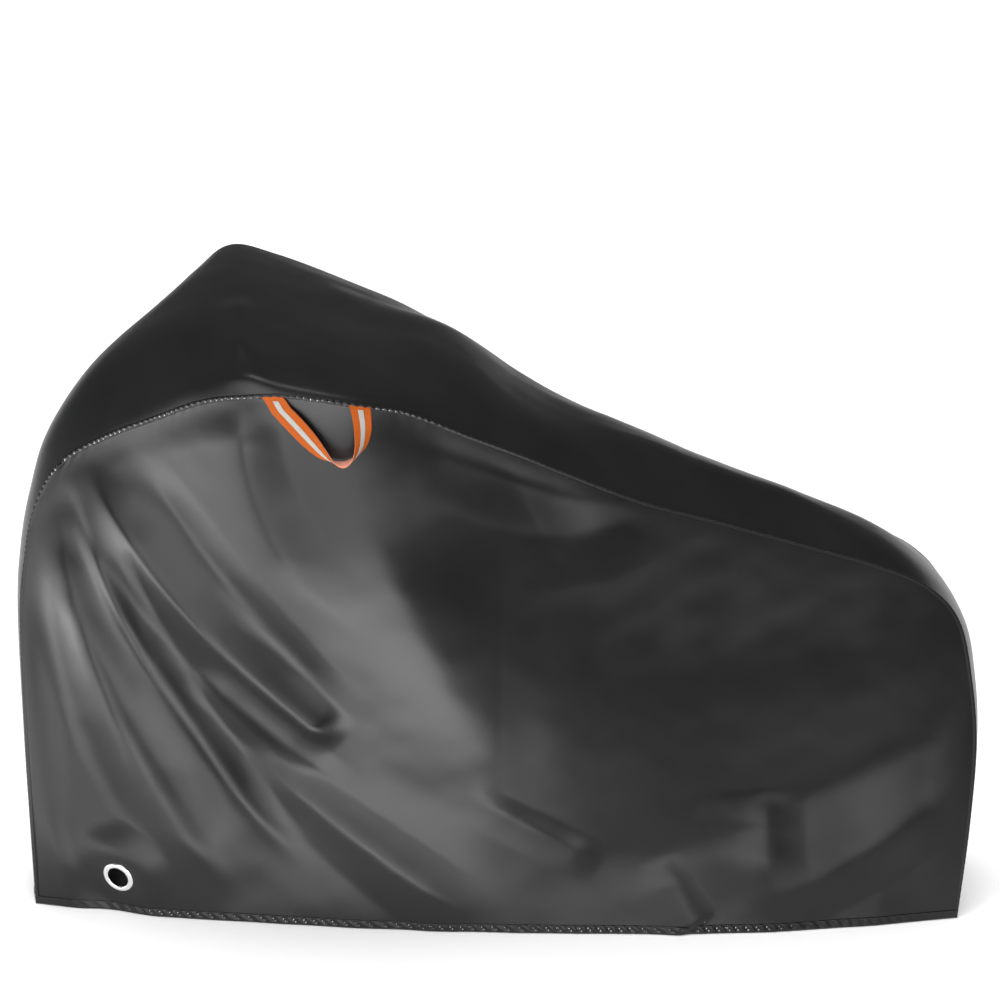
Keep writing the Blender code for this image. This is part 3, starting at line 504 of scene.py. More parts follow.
# Shares of the panel's length and height over which folds die away towards its seams, and the
# powers by which the columns of its grid lean to the rear on their way down, as the folds do.
FOLD_FREE_FRONT = 0.05
FOLD_FREE_REAR = 0.06
FOLD_FREE_TOP = 0.09
SIDE_SLACK_SHORTEST = 0.06
SIDE_SLACK_SEED = 11
COLUMN_TOP_POWER = 1.3
COLUMN_HEM_POWER = 0.85

# The eyelet's centre on the cloth's face, how its flat seat leans out to the rear and upwards,
# the radius of the seat, that over which it passes into the cloth around, and its hole.
EYELET_CENTRE = np.array([-0.740, -0.128, 0.076])
EYELET_LEAN_REAR = 0.40
EYELET_LEAN_UP = 0.18
SEAT_FLAT = 0.036
SEAT_END = 0.120
HOLE_RADIUS = 0.0231
PUNCH_SIDES = 96
PUNCH_LENGTH = 0.03

SIDE_COLUMNS = 330
SIDE_ROWS = 200
SEAM_STEPS = 1200


def seam_point(station, side):
    """Seam of the band on one side, -1 for left and +1 for right."""
    return band_surface(station, np.full(np.shape(station), float(side)))


def edge_station(share, first, last):
    """Station of the band at a share of the seam's length between two rows."""
    fine = np.linspace(first, last, SEAM_STEPS + 1)
    run = np.concatenate([[0.0], np.cumsum(
        np.linalg.norm(np.diff(seam_point(fine, -1), axis=0), axis=1))])
    return np.interp(share, run / run[-1], fine)


def hem_point(share, side):
    """Point of a side panel's hem at a share of its length."""
    x = HEM_ROWS[0][1] + share * (HEM_ROWS[-1][1] - HEM_ROWS[0][1])
    stops = np.array([row[1] for row in HEM_ROWS])
    out = table_at(HEM_COLUMNS, HEM_ROWS, np.interp(x, stops, np.arange(len(stops))))["out"]
    return np.stack([x, side * out, np.zeros_like(x)], -1)


def draw_in(x, z):
    """Depth by which the cloth is drawn in: a straight rise to the waist with a rounded end, and
    half a cosine wave back to nothing above it."""
    stops = np.array([row[1] for row in FLARE_ROWS])
    waist = table_at(FLARE_COLUMNS, FLARE_ROWS, np.interp(x, stops, np.arange(len(stops))))
    share = z / waist["height"]
    below = 0.5 * (share + np.hypot(1.0, FLARE_ROUNDING) - np.hypot(share - 1.0, FLARE_ROUNDING))
    above = np.clip((z - waist["height"]) / waist["rise"], 0.0, 1.0)
    return waist["depth"] * below * (0.5 + 0.5 * np.cos(np.pi * above))


# Small waves under the top seam: their height and mean length, how far down they reach, and how
# far from the seam they start; by how much their length wavers and how often a metre, how often
# their height does, and the share that is gone by the end of the front stretch.
GATHER_HEIGHT = 0.0007
GATHER_LENGTH = 0.038
GATHER_DEPTH = 0.028
GATHER_START = 0.006
GATHER_WAVER = 3.5
GATHER_WAVERS = 17.0
GATHER_SWELLS = 23.0
GATHER_LOSS = 0.85
FRONT_STRETCH = 0.5
TOP_SEAM_LENGTH = 2.1
PANEL_HEIGHT = 0.9


def gathers(share, row):
    """Small waves under the top seam, where the thread takes up the cloth: a sine wave along the
    seam of uneven length and height, which dies away downwards and to the rear."""
    along = share * TOP_SEAM_LENGTH
    turn = 2.0 * np.pi * along / GATHER_LENGTH + GATHER_WAVER * np.sin(along * GATHER_WAVERS)
    swell = 0.5 + 0.5 * np.sin(along * GATHER_SWELLS)
    left_over = 1.0 - GATHER_LOSS * soft_step(along / FRONT_STRETCH - 1.0)
    down = (1.0 - row) * PANEL_HEIGHT
    fade = np.exp(-down / GATHER_DEPTH) * soft_step(down / GATHER_START)
    return GATHER_HEIGHT * np.sin(turn) * swell * left_over * fade


def draped_side(column, row, side, folds):
    """Point of a side panel, both parameters from 0 to 1: a Coons patch of the front edge, the top
    seam, the rear edge and the hem, from which the folds stand out, dying away to the seams."""
    top_share, hem_share = column ** COLUMN_TOP_POWER, column ** COLUMN_HEM_POWER
    seam = seam_point(edge_station(top_share, FRONT_CORNER, REAR_CORNER), side)
    hem = hem_point(hem_share, side)
    front = seam_point(edge_station(row, 0, FRONT_CORNER), side)
    rear = seam_point(edge_station(1.0 - row, REAR_CORNER, BAND_END), side)
    front_hem, front_top, rear_top, rear_hem = seam_point(
        np.array([0, FRONT_CORNER, REAR_CORNER, BAND_END]), side)
    along = hem_share + (top_share - hem_share) * row
    u, v = along[..., None], row[..., None]
    point = ((1 - u) * front + u * rear + (1 - v) * hem + v * seam
             - (1 - u) * (1 - v) * front_hem - u * (1 - v) * rear_hem
             - (1 - u) * v * front_top - u * v * rear_top)
    free = (soft_step(along / FOLD_FREE_FRONT) * soft_step((1 - along) / FOLD_FREE_REAR)
            * soft_step((1 - row) / FOLD_FREE_TOP))
    height = sum(fold_height(point[..., 0], point[..., 2], fold) for fold in folds)
    height = height - draw_in(point[..., 0], point[..., 2])
    height = height + slack(point[..., 0], point[..., 2], SIDE_SLACK_SEED, SIDE_SLACK_SHORTEST)
    point[..., 1] += side * (free * height + gathers(top_share, row))
    return point


def left_surface(column, row):
    """Point of the near side: the draped cloth, with a flat seat round the eyelet that passes into
    the drape by a soft step."""
    point = draped_side(column, row, -1, LEFT_FOLDS)
    right, up = point[..., 0] - EYELET_CENTRE[0], point[..., 2] - EYELET_CENTRE[2]
    plane = EYELET_CENTRE[1] - EYELET_LEAN_REAR * right - EYELET_LEAN_UP * up
    reach = (np.hypot(right, up) - SEAT_FLAT) / (SEAT_END - SEAT_FLAT)
    point[..., 1] += (1.0 - soft_step(reach)) * (plane - point[..., 1])
    return point


side_grid = np.meshgrid(np.linspace(0.0, 1.0, SIDE_COLUMNS + 1),
                        np.linspace(0.0, 1.0, SIDE_ROWS + 1))
left_points = left_surface(*side_grid)
left = place_piece("left_cloth", sheet_mesh("left_cloth", left_points, (0.0, -1.0, 0.0),
                                            CLOTH_THICKNESS),
                   cloth, ["side_panel_left", "eyelet_strip"])

eyelet_axis = Vector((-EYELET_LEAN_REAR, -1.0, -EYELET_LEAN_UP)).normalized()
bpy.ops.mesh.primitive_cylinder_add(vertices=PUNCH_SIDES, radius=HOLE_RADIUS, depth=PUNCH_LENGTH,
                                    location=EYELET_CENTRE,
                                    rotation=eyelet_axis.to_track_quat("Z", "Y").to_euler())
punch = bpy.context.object
cut = left.modifiers.new("eyelet_hole", "BOOLEAN")
cut.operation = "DIFFERENCE"
cut.object = punch
punched = bpy.data.meshes.new_from_object(left.evaluated_get(bpy.context.evaluated_depsgraph_get()))
left.modifiers.clear()
left.data = punched
bpy.data.objects.remove(punch)


# ---- Right side panel ------------------------------------
# The far side: the same cut turned over, without an eyelet or a loop, hanging in plainer folds.

RIGHT_FOLDS = (
    ("front crest", -0.85, 0.84, -0.78, 0.47, -0.64, 0.04,
     0.020, 0.080, 0.140, 0.070, 0.120, 0.30, 0.20, 0.020),
    ("corner crest", -0.78, 0.90, -0.62, 0.56, -0.40, 0.12,
     0.022, 0.060, 0.120, 0.050, 0.100, 0.30, 0.25, 0.015),
    ("slant crest", -0.70, 0.96, -0.50, 0.72, -0.26, 0.48,
     0.018, 0.070, 0.110, 0.060, 0.070, 0.30, 0.25, 0.015),
    ("keel", -0.33, 1.30, -0.23, 0.62, 0.02, 0.02,
     0.050, 0.440, 0.600, 0.220, 0.300, 0.35, 0.30, 0.060),
    ("peak crest", -0.52, 1.15, -0.50, 0.86, -0.38, 0.56,
     0.013, 0.120, 0.180, 0.080, 0.120, 0.05, 0.40, 0.020),
    ("back crest", 0.06, 1.02, 0.18, 0.70, 0.32, 0.26,
     0.016, 0.160, 0.240, 0.120, 0.200, 0.20, 0.35, 0.030),
    ("rear crest", 0.76, 0.64, 0.64, 0.40, 0.42, 0.10,
     0.016, 0.100, 0.160, 0.120, 0.200, 0.30, 0.25, 0.025),
    ("low trough", 0.25, 0.15, 0.52, 0.19, 0.82, 0.38,
     -0.018, 0.120, 0.160, 0.160, 0.180, 0.30, 0.30, 0.025),
)
FAR_COLUMNS = 240
FAR_ROWS = 150


def right_surface(column, row):
    """Point of the far side: the draped cloth with its own folds."""
    return draped_side(column, row, 1, RIGHT_FOLDS)


far_grid = np.meshgrid(np.linspace(0.0, 1.0, FAR_COLUMNS + 1),
                       np.linspace(0.0, 1.0, FAR_ROWS + 1))
right_points = right_surface(*far_grid)
right = place_piece("right_cloth", sheet_mesh("right_cloth", right_points, (0.0, 1.0, 0.0),
                                              CLOTH_THICKNESS),
                    cloth, ["side_panel_right"])


# ---- Seams -----------------------------------------------
# Along both edges of the band the cloth is turned in and sewn down from outside, which leaves a
# low ridge some 10 mm wide.  The thread draws it into small slanting puckers, most of all over the
# front half of the top.

SEAM_SPACING = 0.002
SEAM_HALF = 0.0052
SEAM_HEIGHT = 0.0022
SEAM_SUNK = 0.0003
SEAM_THICKNESS = 0.0005
SEAM_PUCKER = 0.0010
SEAM_PUCKER_LENGTH = 0.0125
SEAM_PUCKER_SLANT = 0.6
SEAM_PUCKER_WAVER = 2.0
SEAM_PUCKER_WAVERS = 41.0
SEAM_PUCKER_LEAST = 0.25
SEAM_THREAD_AT = -0.0030
STITCH_PITCH = 0.0046
STITCH_PROUD = 0.0001

# Where the puckers of the top seam begin, over what length they grow, and the same for their end.
PUCKERS_FROM = (-0.95, 0.15)
PUCKERS_TO = (0.05, 0.3)

# Points along an upright edge and along the top of a side panel; the steps from the seam by which
# the ways into the side panel and into the band are found; and how much the seam's ridge leans out.
UPRIGHT_POINTS = 400
TOP_POINTS = 900
EDGE_STEP = 0.004
BAND_STEP = 0.001
SEAM_LEAN = 0.2


def even_path(*arrays):
    """Lengths along a path at an even number of even steps, and arrays of rows along it, the first
    of them its points, at those lengths."""
    run = np.concatenate([[0.0], np.cumsum(np.linalg.norm(np.diff(arrays[0], axis=0), axis=1))])
    even = np.linspace(0.0, run[-1], 2 * int(0.5 * run[-1] / SEAM_SPACING) + 1)
    return even, *(np.stack([np.interp(even, run, column) for column in array.T], -1)
                   for array in arrays)


def unit(vectors):
    """Vectors of length 1."""
    return vectors / np.maximum(np.linalg.norm(vectors, axis=-1, keepdims=True), 1e-12)


def square_to(ways, tangent):
    """Unit vectors along ways, made square to the tangent."""
    return unit(ways - np.sum(ways * tangent, axis=-1, keepdims=True) * tangent)


def panel_edge(surface, side):
    """Points along the seam of one side from the front hem over the top to the rear hem, with the
    ways from there into the side panel and into the band."""
    rows = np.linspace(0.0, 1.0, UPRIGHT_POINTS)
    columns = np.linspace(0.0, 1.0, TOP_POINTS)
    station = np.concatenate([
        edge_station(rows, 0, FRONT_CORNER),
        edge_station(columns ** COLUMN_TOP_POWER, FRONT_CORNER, REAR_CORNER)[1:-1],
        edge_station(rows, REAR_CORNER, BAND_END)])
    inside = np.concatenate([
        surface(np.full(UPRIGHT_POINTS, EDGE_STEP), rows),
        surface(columns, np.full(TOP_POINTS, 1.0 - EDGE_STEP))[1:-1],
        surface(np.full(UPRIGHT_POINTS, 1.0 - EDGE_STEP), rows[::-1])])
    edge = seam_point(station, side)
    band = band_surface(station, np.full(len(station), side * (1.0 - BAND_STEP)))
    return even_path(edge, unit(inside - edge), unit(band - edge))


def stitch_mesh(name, centre, along, out, length=0.0032, width=0.0006, height=0.0005):
    """Stitches as small boxes tapered to their ends, each along its own direction."""
    across = np.cross(along, out)
    corners = np.array([(-1, -0.5, 0), (-1, 0.5, 0), (0, 1, 0), (1, 0.5, 0), (1, -0.5, 0),
                        (0, -1, 0), (-0.6, 0, 1), (0.6, 0, 1)], dtype=float)
    faces = np.array([(0, 6, 1), (1, 6, 2), (6, 7, 2), (2, 7, 3), (3, 7, 4), (4, 7, 5), (7, 6, 5),
                      (5, 6, 0), (0, 1, 2), (0, 2, 5), (2, 3, 4), (2, 4, 5)])
    points = (centre[:, None] + 0.5 * length * corners[:, :1] * along[:, None]
              + 0.5 * width * corners[:, 1:2] * across[:, None]
              + height * (corners[:, 2:] - 0.4) * out[:, None])
    numbers = faces[None] + len(corners) * np.arange(len(centre))[:, None, None]
    outer = np.sum(face_ways(points, faces[:1]) * (points[:, faces[:1, 0]] - centre[:, None])) > 0.0
    mesh = bpy.data.meshes.new(name)
    mesh.from_pydata(points.reshape(-1, 3), [],
                     (numbers if outer else numbers[..., ::-1]).reshape(-1, 3).tolist())
    return mesh


def seam_ridge(along, off, strong):
    """Height of the seam's ridge over the cloth: a low arch across it, and its puckers, a slanting
    sine wave of uneven length."""
    arch = 1.0 - (off / SEAM_HALF) ** 4
    turn = (2.0 * np.pi * (along + SEAM_PUCKER_SLANT * off) / SEAM_PUCKER_LENGTH
            + SEAM_PUCKER_WAVER * np.sin(along * SEAM_PUCKER_WAVERS))
    edge = 0.6 + 0.4 * np.cos(np.pi * off / SEAM_HALF)
    return SEAM_HEIGHT * arch + SEAM_PUCKER * strong * edge * np.sin(turn) - SEAM_SUNK


def stretch(x, start, end, least):
    """Strength of the puckers at x: the least value, and up to 1 between a soft start and a soft
    end, each given as a place and a length."""
    inside = soft_step((x - start[0]) / start[1]) * soft_step((end[0] - x) / end[1])
    return least + (1.0 - least) * inside


def sew(name, along, line, tangent, out):
    """A row of stitches at even steps along a line."""
    picks = np.arange(2, len(along) - 2, STITCH_PITCH / SEAM_SPACING).astype(int)
    place_piece(name, stitch_mesh(name, line[picks], tangent[picks], out[picks]), thread)


THREAD_DARK = (0.006, 0.006, 0.006, 1.0)
THREAD_LIGHT = (0.030, 0.030, 0.031, 1.0)

thread, shader, flow = new_material("black_thread")
place = flow.node("ShaderNodeTexCoord", {}, {}, output=3)
twist = flow.noise(place, 900.0, 2.0)
twist.blend(THREAD_DARK, THREAD_LIGHT).feed(shader, "Base Color")
twist.raise_in(shader, 0.5, 0.0003)
shader.inputs["Roughness"].default_value = 0.5

offsets = np.array([-1.0, -0.86, -0.6, -0.3, 0.0, 0.3, 0.6, 0.86, 1.0]) * SEAM_HALF
for name, surface, side in (("left", left_surface, -1), ("right", right_surface, 1)):
    along, edge, into, over = panel_edge(surface, side)
    tangent = unit(np.gradient(edge, axis=0))
    into, over = square_to(into, tangent), square_to(over, tangent)
    out = square_to(-(into + over) + SEAM_LEAN * np.array([0.0, side, 0.0]), tangent)
    way = np.where(offsets[None, :, None] < 0.0, into[:, None], over[:, None])
    lift = 0.5 * CLOTH_THICKNESS * soft_step(offsets / SEAM_HALF + 0.5)
    strong = stretch(edge[:, 0], PUCKERS_FROM, PUCKERS_TO, SEAM_PUCKER_LEAST)
    height = seam_ridge(along[:, None], offsets, strong[:, None]) + lift
    ridge = edge[:, None] + np.abs(offsets)[None, :, None] * way + height[..., None] * out[:, None]
    place_piece(name + "_seam", sheet_mesh(name + "_seam", ridge, out[:, None], SEAM_THICKNESS),
                cloth)
    sewn = (edge + abs(SEAM_THREAD_AT) * into
            + (seam_ridge(along, SEAM_THREAD_AT, strong) + STITCH_PROUD)[:, None] * out)
    sew(name + "_seam_thread", along, sewn, tangent, out)


# ---- Hem -------------------------------------------------
# The lower edge is turned in twice and sewn down 14 mm above it, all round.  The thread draws the
# hem into slanting puckers.

HEM_HEIGHT = 0.017
HEM_PROUD = 0.0018
HEM_PUCKER = 0.0016
HEM_PUCKER_LENGTH = 0.022
HEM_PUCKER_SLANT = 0.7
HEM_PUCKER_WAVER = 2.2
HEM_PUCKER_WAVERS = 23.0
HEM_PUCKER_LEAST = 0.35
HEM_PUCKERS_FROM = (-0.80, 0.15)
HEM_PUCKERS_TO = (0.75, 0.2)
HEM_THICKNESS = 0.0006
HEM_THREAD_AT = 0.0140

# How far the turned hem stands proud, as shares, at shares of its height.
HEM_PROFILE_UP = (0.0, 0.05, 0.9, 0.97, 1.0)
HEM_PROFILE_OUT = (0.2, 0.8, 1.0, 0.7, -0.4)

ups = np.array([0.0, 0.05, 0.18, 0.32, 0.46, 0.60, 0.74, 0.83, 0.90, 0.95, 1.0]) * HEM_HEIGHT
columns = np.linspace(0.0, 1.0, TOP_POINTS)
sides = (left_surface,
         lambda u, v: band_surface(BAND_END - v, 2.0 * u - 1.0),
         lambda u, v: right_surface(1.0 - u, v),
         lambda u, v: band_surface(v, 1.0 - 2.0 * u))
parts = [(surface(columns, 0.0 * columns), surface(columns, 0.0 * columns + EDGE_STEP))
         for surface in sides]
edge = np.concatenate([low for low, _ in parts])
above = np.concatenate([high - low for low, high in parts])
keep = np.concatenate([[True], np.linalg.norm(np.diff(edge, axis=0), axis=1) > 1e-6])
along, edge, above = even_path(edge[keep], unit(above[keep]))
tangent = unit(np.gradient(edge, axis=0))
above = square_to(above, tangent)
out = np.cross(tangent, above)
out *= np.sign(np.sum(out * edge * (1.0, 1.0, 0.0)))
strong = stretch(edge[:, 0], HEM_PUCKERS_FROM, HEM_PUCKERS_TO, HEM_PUCKER_LEAST)
across_hem = np.interp(ups / HEM_HEIGHT, HEM_PROFILE_UP, HEM_PROFILE_OUT)


def hem_ridge(along, up, strong):
    """Puckers of the hem: a slanting sine wave of uneven length, level at the hem's edges."""
    turn = (2.0 * np.pi * (along + HEM_PUCKER_SLANT * up) / HEM_PUCKER_LENGTH
            + HEM_PUCKER_WAVER * np.sin(along * HEM_PUCKER_WAVERS))
    return HEM_PUCKER * strong * np.sin(np.pi * np.clip(up / HEM_HEIGHT, 0.0, 1.0)) * np.sin(turn)


height = HEM_PROUD * across_hem + hem_ridge(along[:, None], ups, strong[:, None])
turned = edge[:, None] + ups[None, :, None] * above[:, None] + height[..., None] * out[:, None]
place_piece("hem", sheet_mesh("hem", turned, out[:, None], HEM_THICKNESS), cloth)
sewn = (edge + HEM_THREAD_AT * above
        + (HEM_PROUD + STITCH_PROUD + hem_ridge(along, HEM_THREAD_AT, strong))[:, None] * out)
sew("hem_thread", along, sewn, tangent, out)


# ---- Eyelet ----------------------------------------------
# A two-part eyelet of nickel-plated brass, 64 mm across: its flange is pressed round in front, and
# its barrel goes through the cloth and is rolled over a washer behind.

EYELET_COLUMNS = ("name", "radius", "height")
EYELET_SECTION = (
    ("barrel front", 22.7, 0.4), ("barrel back", 22.7, -2.4), ("washer front", 29.6, -2.4),
    ("washer edge", 30.0, -3.0), ("washer back", 29.5, -3.6), ("barrel end", 22.3, -3.6),
    ("barrel turn", 21.5, -2.6), ("bore", 21.5, 0.8), ("bore lip", 22.8, 2.6),
    ("flange inside", 25.4, 3.5), ("flange top", 28.4, 3.4), ("flange outside", 31.0, 2.4),
    ("flange edge", 32.2, 1.2), ("flange foot", 32.0, 0.4),
)
EYELET_STEPS = 128
SECTION_FINER = 4
MILLIMETRE = 0.001

round_rows = EYELET_SECTION[-2:] + EYELET_SECTION + EYELET_SECTION[:3]
station = 2.0 + np.arange(len(EYELET_SECTION) * SECTION_FINER) / SECTION_FINER
section = table_at(EYELET_COLUMNS, round_rows, station)
axis = np.array(eyelet_axis)
first = unit(np.cross(axis, (0.0, 0.0, 1.0)))
second = np.cross(axis, first)
angle = np.linspace(0.0, 2.0 * np.pi, EYELET_STEPS, endpoint=False)[:, None, None]
ring = (EYELET_CENTRE + MILLIMETRE * section["height"][:, None] * axis
        + MILLIMETRE * section["radius"][:, None] * (np.cos(angle) * first
                                                     + np.sin(angle) * second))
number = np.arange(ring[..., 0].size).reshape(ring.shape[:2])
beside, next_up = np.roll(number, -1, 0), np.roll(number, -1, 1)
faces = np.stack([number, beside, np.roll(beside, -1, 1), next_up], -1).reshape(-1, 4)
middle = ring.mean(axis=1, keepdims=True)
spread = (ring - middle).reshape(-1, 3)[faces[:, 0]]
if np.sum(face_ways(ring.reshape(-1, 3), faces) * spread) < 0.0:
    faces = faces[:, ::-1]
eyelet_mesh = bpy.data.meshes.new("polished_eyelet")
eyelet_mesh.from_pydata(ring.reshape(-1, 3), [], faces.tolist())
eyelet_mesh.shade_smooth()

NICKEL_DULL = (0.70, 0.70, 0.71, 1.0)
NICKEL_BRIGHT = (0.84, 0.84, 0.85, 1.0)

nickel, shader, flow = new_material("nickel_plate")
place = flow.node("ShaderNodeTexCoord", {}, {}, output=3)
cloudy = flow.noise(place, 60.0, 3.0)
scratch = flow.noise(place, 700.0, 4.0)
cloudy.blend(NICKEL_DULL, NICKEL_BRIGHT).feed(shader, "Base Color")
(0.10 + cloudy * 0.08 + scratch * 0.10).feed(shader, "Roughness")
scratch.raise_in(shader, 0.08, 0.0003)
shader.inputs["Metallic"].default_value = 1.0
place_piece("polished_eyelet", eyelet_mesh, nickel, ["eyelet"])


# ---- Carrying loop ---------------------------------------
# A loop of orange polyester webbing, 32 mm wide and 1.6 mm thick, both ends caught in the left
# seam.  A tape with grey reflecting beads is sewn along the middle of its face.

STRAP_COLUMNS = ("name", "inner_x", "inner_z", "inner_out", "outer_x", "outer_z", "outer_out")
STRAP_ROWS = (
    ("front end",   -0.379, 1.110, 0.327, -0.417, 1.111, 0.323),
    ("front top",   -0.360, 1.092, 0.324, -0.394, 1.081, 0.318),
    ("front leg",   -0.339, 1.068, 0.322, -0.366, 1.046, 0.313),
    ("front low",   -0.319, 1.042, 0.323, -0.340, 1.018, 0.312),
    ("front turn",  -0.302, 1.017, 0.329, -0.316, 0.999, 0.312),
    ("belly front", -0.288, 0.998, 0.338, -0.296, 0.993, 0.312),
    ("belly",       -0.272, 0.991, 0.343, -0.273, 0.992, 0.311),
    ("belly rear",  -0.258, 1.000, 0.339, -0.250, 1.002, 0.311),
    ("rear turn",   -0.252, 1.021, 0.330, -0.232, 1.022, 0.311),
    ("rear low",    -0.253, 1.049, 0.322, -0.224, 1.048, 0.311),
    ("rear top",    -0.256, 1.076, 0.323, -0.223, 1.073, 0.317),
    ("rear end",    -0.263, 1.097, 0.326, -0.225, 1.087, 0.317),
)
SEAM_GAP = 0.0004
WEBBING = 0.0016
TAPE_SHARE = (0.37, 0.64)
TAPE_PROUD = 0.0004
TAPE_THICKNESS = 0.0004
STRAP_STEPS = 24


def strap_surface(station, share):
    """Point of the loop's middle surface, share 0 at its inner edge: both edges are curves through
    the rows of the table, and at the two ends they are drawn up to the seam."""
    row = table_at(STRAP_COLUMNS, STRAP_ROWS, station)
    x, z, out = (row["inner_" + way] + share * (row["outer_" + way] - row["inner_" + way])
                 for way in ("x", "z", "out"))
    seam = seam_point(np.linspace(FRONT_CORNER, REAR_CORNER, SEAM_STEPS + 1), -1)
    last = len(STRAP_ROWS) - 1
    caught = 1.0 - soft_step(np.minimum(station, last - station))
    z = z + caught * (np.interp(x, seam[:, 0], seam[:, 2]) - SEAM_GAP - z)
    out = out + caught * (SEAM_GAP + 0.5 * WEBBING - np.interp(x, seam[:, 0], seam[:, 1]) - out)
    return np.stack([x, -out, z], -1)


def woven_material(name, dark, light, inside, ribs, rough):
    """Woven band: ribs along it and weft across it, each a sine wave over its UV map in metres,
    with a paler back."""
    made, shader, flow = new_material(name)
    place = flow.node("ShaderNodeUVMap", {"uv_map": "cloth"}, {})
    back = flow.node("ShaderNodeAttribute", {"attribute_name": "inner"}, {}, output=2)
    length = flow.node("ShaderNodeSeparateXYZ", {}, {0: place})
    width = flow.node("ShaderNodeSeparateXYZ", {}, {0: place}, output=1)
    rib = flow.maths("SINE", width * (2.0 * np.pi * ribs))
    weft = flow.maths("SINE", length * (2.0 * np.pi * ribs * 0.8) + rib * 1.2)
    fluff = flow.noise(place, 400.0, 4.0)
    thread_height = rib * 0.5 + weft * 0.35 + fluff * 0.6
    face = thread_height.between(-0.6, 1.2).blend(dark, light)
    back.blend(face, inside).feed(shader, "Base Color")
    (rough + (fluff - 0.5) * 0.2).feed(shader, "Roughness")
    thread_height.raise_in(shader, 0.35, 0.0005)
    shader.inputs["Specular IOR Level"].default_value = 0.2
    return made


ORANGE_DARK = (0.24, 0.036, 0.001, 1.0)
ORANGE_LIGHT = (0.40, 0.085, 0.003, 1.0)
ORANGE_BACK = (0.62, 0.26, 0.18, 1.0)
BEADS_DARK = (0.24, 0.24, 0.22, 1.0)
BEADS_LIGHT = (0.34, 0.34, 0.32, 1.0)
BEADS_BACK = (0.30, 0.30, 0.28, 1.0)
WEBBING_RIBS = 900.0
TAPE_RIBS = 1600.0
STRAP_ACROSS = 20
TAPE_ACROSS = 8
TAPE_FREE = 12

orange = woven_material("orange_webbing", ORANGE_DARK, ORANGE_LIGHT, ORANGE_BACK, WEBBING_RIBS,
                        0.75)
beads = woven_material("reflecting_tape", BEADS_DARK, BEADS_LIGHT, BEADS_BACK, TAPE_RIBS, 0.40)
last = len(STRAP_ROWS) - 1
lengthways = np.linspace(0.0, last, last * STRAP_STEPS + 1)
face = strap_surface(*np.meshgrid(lengthways, np.linspace(0.0, 1.0, STRAP_ACROSS + 1),
                                  indexing="ij"))
place_piece("loop_webbing", sheet_mesh("loop_webbing", face, (0.0, -1.0, 0.0), WEBBING,
                                       lift=0.5 * WEBBING), orange, ["strap_webbing"])
tape = strap_surface(*np.meshgrid(lengthways[TAPE_FREE:-TAPE_FREE],
                                  np.linspace(*TAPE_SHARE, TAPE_ACROSS + 1), indexing="ij"))
place_piece("loop_tape", sheet_mesh("loop_tape", tape, (0.0, -1.0, 0.0), TAPE_THICKNESS,
                                    lift=0.5 * WEBBING + TAPE_PROUD), beads,
            ["strap_tape"])


# ---- Floor, light and camera -----------------------------
# A plain pale floor at the hem, with painted shade that makes it dark in front of the picture, and
# the camera of the photograph.
# Soft panels lie on the floor to the left and in front and stand behind the camera: the coated
# cloth mirrors them, bright where it leans up to them.  A wide light above makes the floor pale.

FLOOR_SIZE = 40.0
FLOOR_UNDER = 0.0005
# Painted shade: the dark colour of the floor in front of the picture, and the places where it turns
# pale.
FLOOR_PAINTED_SHADE = (0.12, 0.12, 0.12, 1.0)
FLOOR_PALE = (0.86, 0.86, 0.86, 1.0)
FLOOR_SHADE_TURNS = (-0.9, -0.5)

bpy.ops.mesh.primitive_plane_add(size=FLOOR_SIZE, location=(0.0, 0.0, cad_low.z - FLOOR_UNDER))
floor = bpy.context.object
floor.name = "floor"
pale, shader, flow = new_material("floor_paper_painted_shade")
place = flow.node("ShaderNodeTexCoord", {}, {}, output=3)
backwards = flow.node("ShaderNodeSeparateXYZ", {}, {0: place}, output=1)
# Painted shade: the floor is coloured dark in front of the picture and pale from there back.
backwards.between(*FLOOR_SHADE_TURNS).blend(FLOOR_PAINTED_SHADE, FLOOR_PALE).feed(shader, "Base Color")
shader.inputs["Roughness"].default_value = 0.9
shader.inputs["Specular IOR Level"].default_value = 0.0
floor.data.materials.append(pale)


def soft_light(name, place, aim, size, power, mirrored=True):
    """A rectangular soft light at a place, turned towards the point it is aimed at."""
    light = bpy.data.lights.new(name, "AREA")
    light.shape = "RECTANGLE"
    light.size, light.size_y = size
    light.energy = power
    holder = bpy.data.objects.new(name, light)
    holder.location = place
    holder.visible_glossy = mirrored
    holder.rotation_euler = (Vector(aim) - Vector(place)).to_track_quat("-Z", "Y").to_euler()
    bpy.context.scene.collection.objects.link(holder)


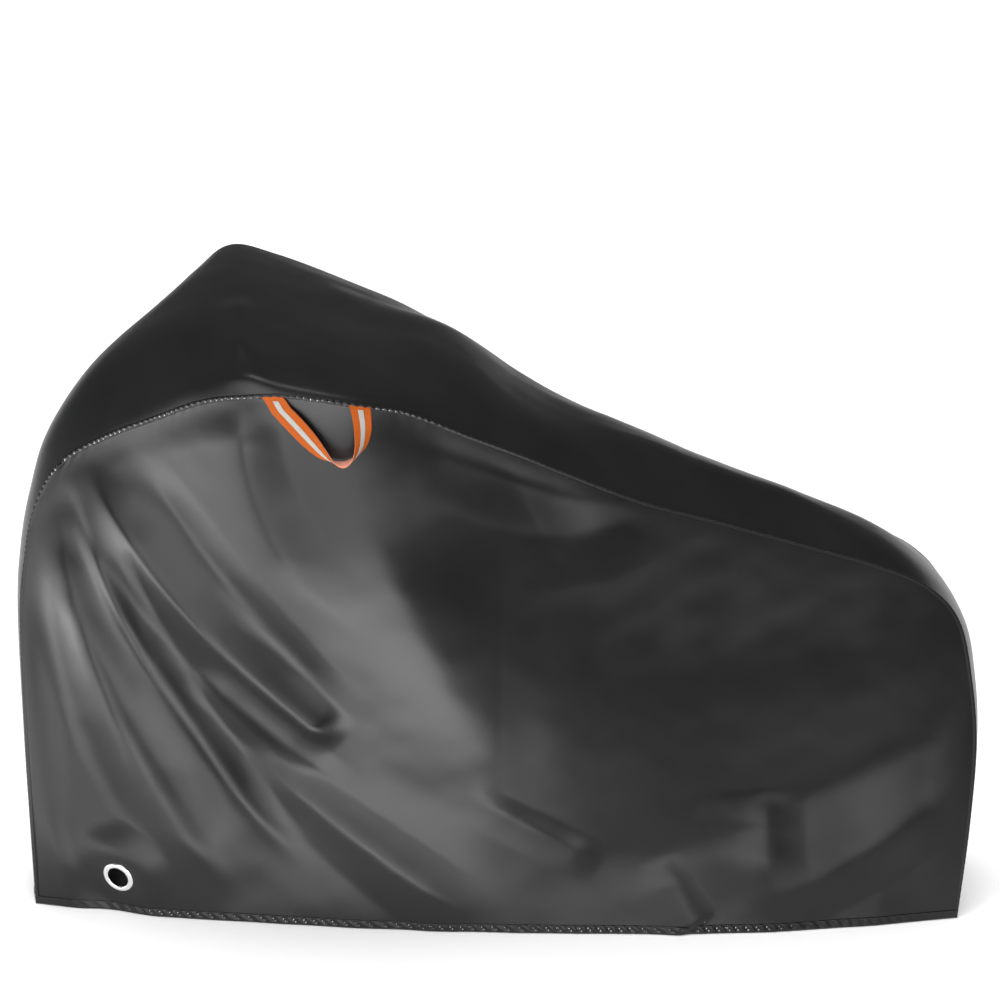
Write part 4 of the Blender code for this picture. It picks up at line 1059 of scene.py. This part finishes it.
soft_light("low_light", (-0.45, -1.53, 0.01), (-0.45, -1.53, 5.0), (1.0, 2.14), 30.0)
soft_light("near_light", (-0.22, -0.53, 0.02), (-0.22, -0.53, 5.0), (0.6, 0.14), 1.0)
soft_light("corner_light", (-1.25, -0.52, 0.01), (-1.25, -0.52, 5.0), (0.5, 0.4), 2.2)
soft_light("side_light", (-2.33, -1.10, 0.01), (-2.33, -1.10, 5.0), (1.65, 3.0), 62.0)
soft_light("front_light", (-2.0, -3.6, 1.3), (-2.0, 0.0, 1.3), (3.3, 2.6), 100.0)
soft_light("wide_light", (0.9, -3.6, 0.95), (0.9, 0.0, 0.95), (2.6, 0.9), 42.0)
soft_light("top_light", (-0.55, -0.95, 5.0), (-0.47, -0.2, 1.1), (0.5, 1.6), 45.0)
soft_light("floor_light", (0.0, 6.0, 7.0), (0.0, 6.0, 0.0), (16.0, 24.0), 2300.0, mirrored=False)
bpy.context.scene.view_settings.view_transform = "Standard"

WORLD_FRONT = 0.28
WORLD_BACK = 0.15

world = bpy.data.worlds.new("studio")
world.use_nodes = True
sky = Flow(world.node_tree)
way = sky.node("ShaderNodeTexCoord", {}, {})
backwards = sky.node("ShaderNodeSeparateXYZ", {}, {0: way}, output=1)
(WORLD_FRONT + backwards.between(0.0, 0.7) * (WORLD_BACK - WORLD_FRONT)).feed(
    world.node_tree.nodes["Background"], "Strength")
world.node_tree.nodes["Background"].inputs["Color"].default_value = (1.0, 1.0, 1.0, 1.0)
bpy.context.scene.world = world

CAMERA_ELEVATION = np.radians(20.0)
CAMERA_DISTANCE = 4.8
CAMERA_TARGET = Vector((0.0, 0.0, 0.807))
PIXELS_A_METRE = 530.0
PICTURE = 1000.0
SENSOR = 36.0

camera = bpy.data.cameras.new("camera")
camera.sensor_width = SENSOR
camera.lens = SENSOR * PIXELS_A_METRE * CAMERA_DISTANCE / PICTURE
camera.clip_end = 100.0
looks_along = Vector((0.0, np.cos(CAMERA_ELEVATION), -np.sin(CAMERA_ELEVATION)))
camera_holder = bpy.data.objects.new("camera", camera)
camera_holder.location = CAMERA_TARGET - CAMERA_DISTANCE * looks_along
camera_holder.rotation_euler = looks_along.to_track_quat("-Z", "Y").to_euler()
bpy.context.scene.collection.objects.link(camera_holder)
bpy.context.scene.camera = camera_holder

bpy.context.view_layer.update()
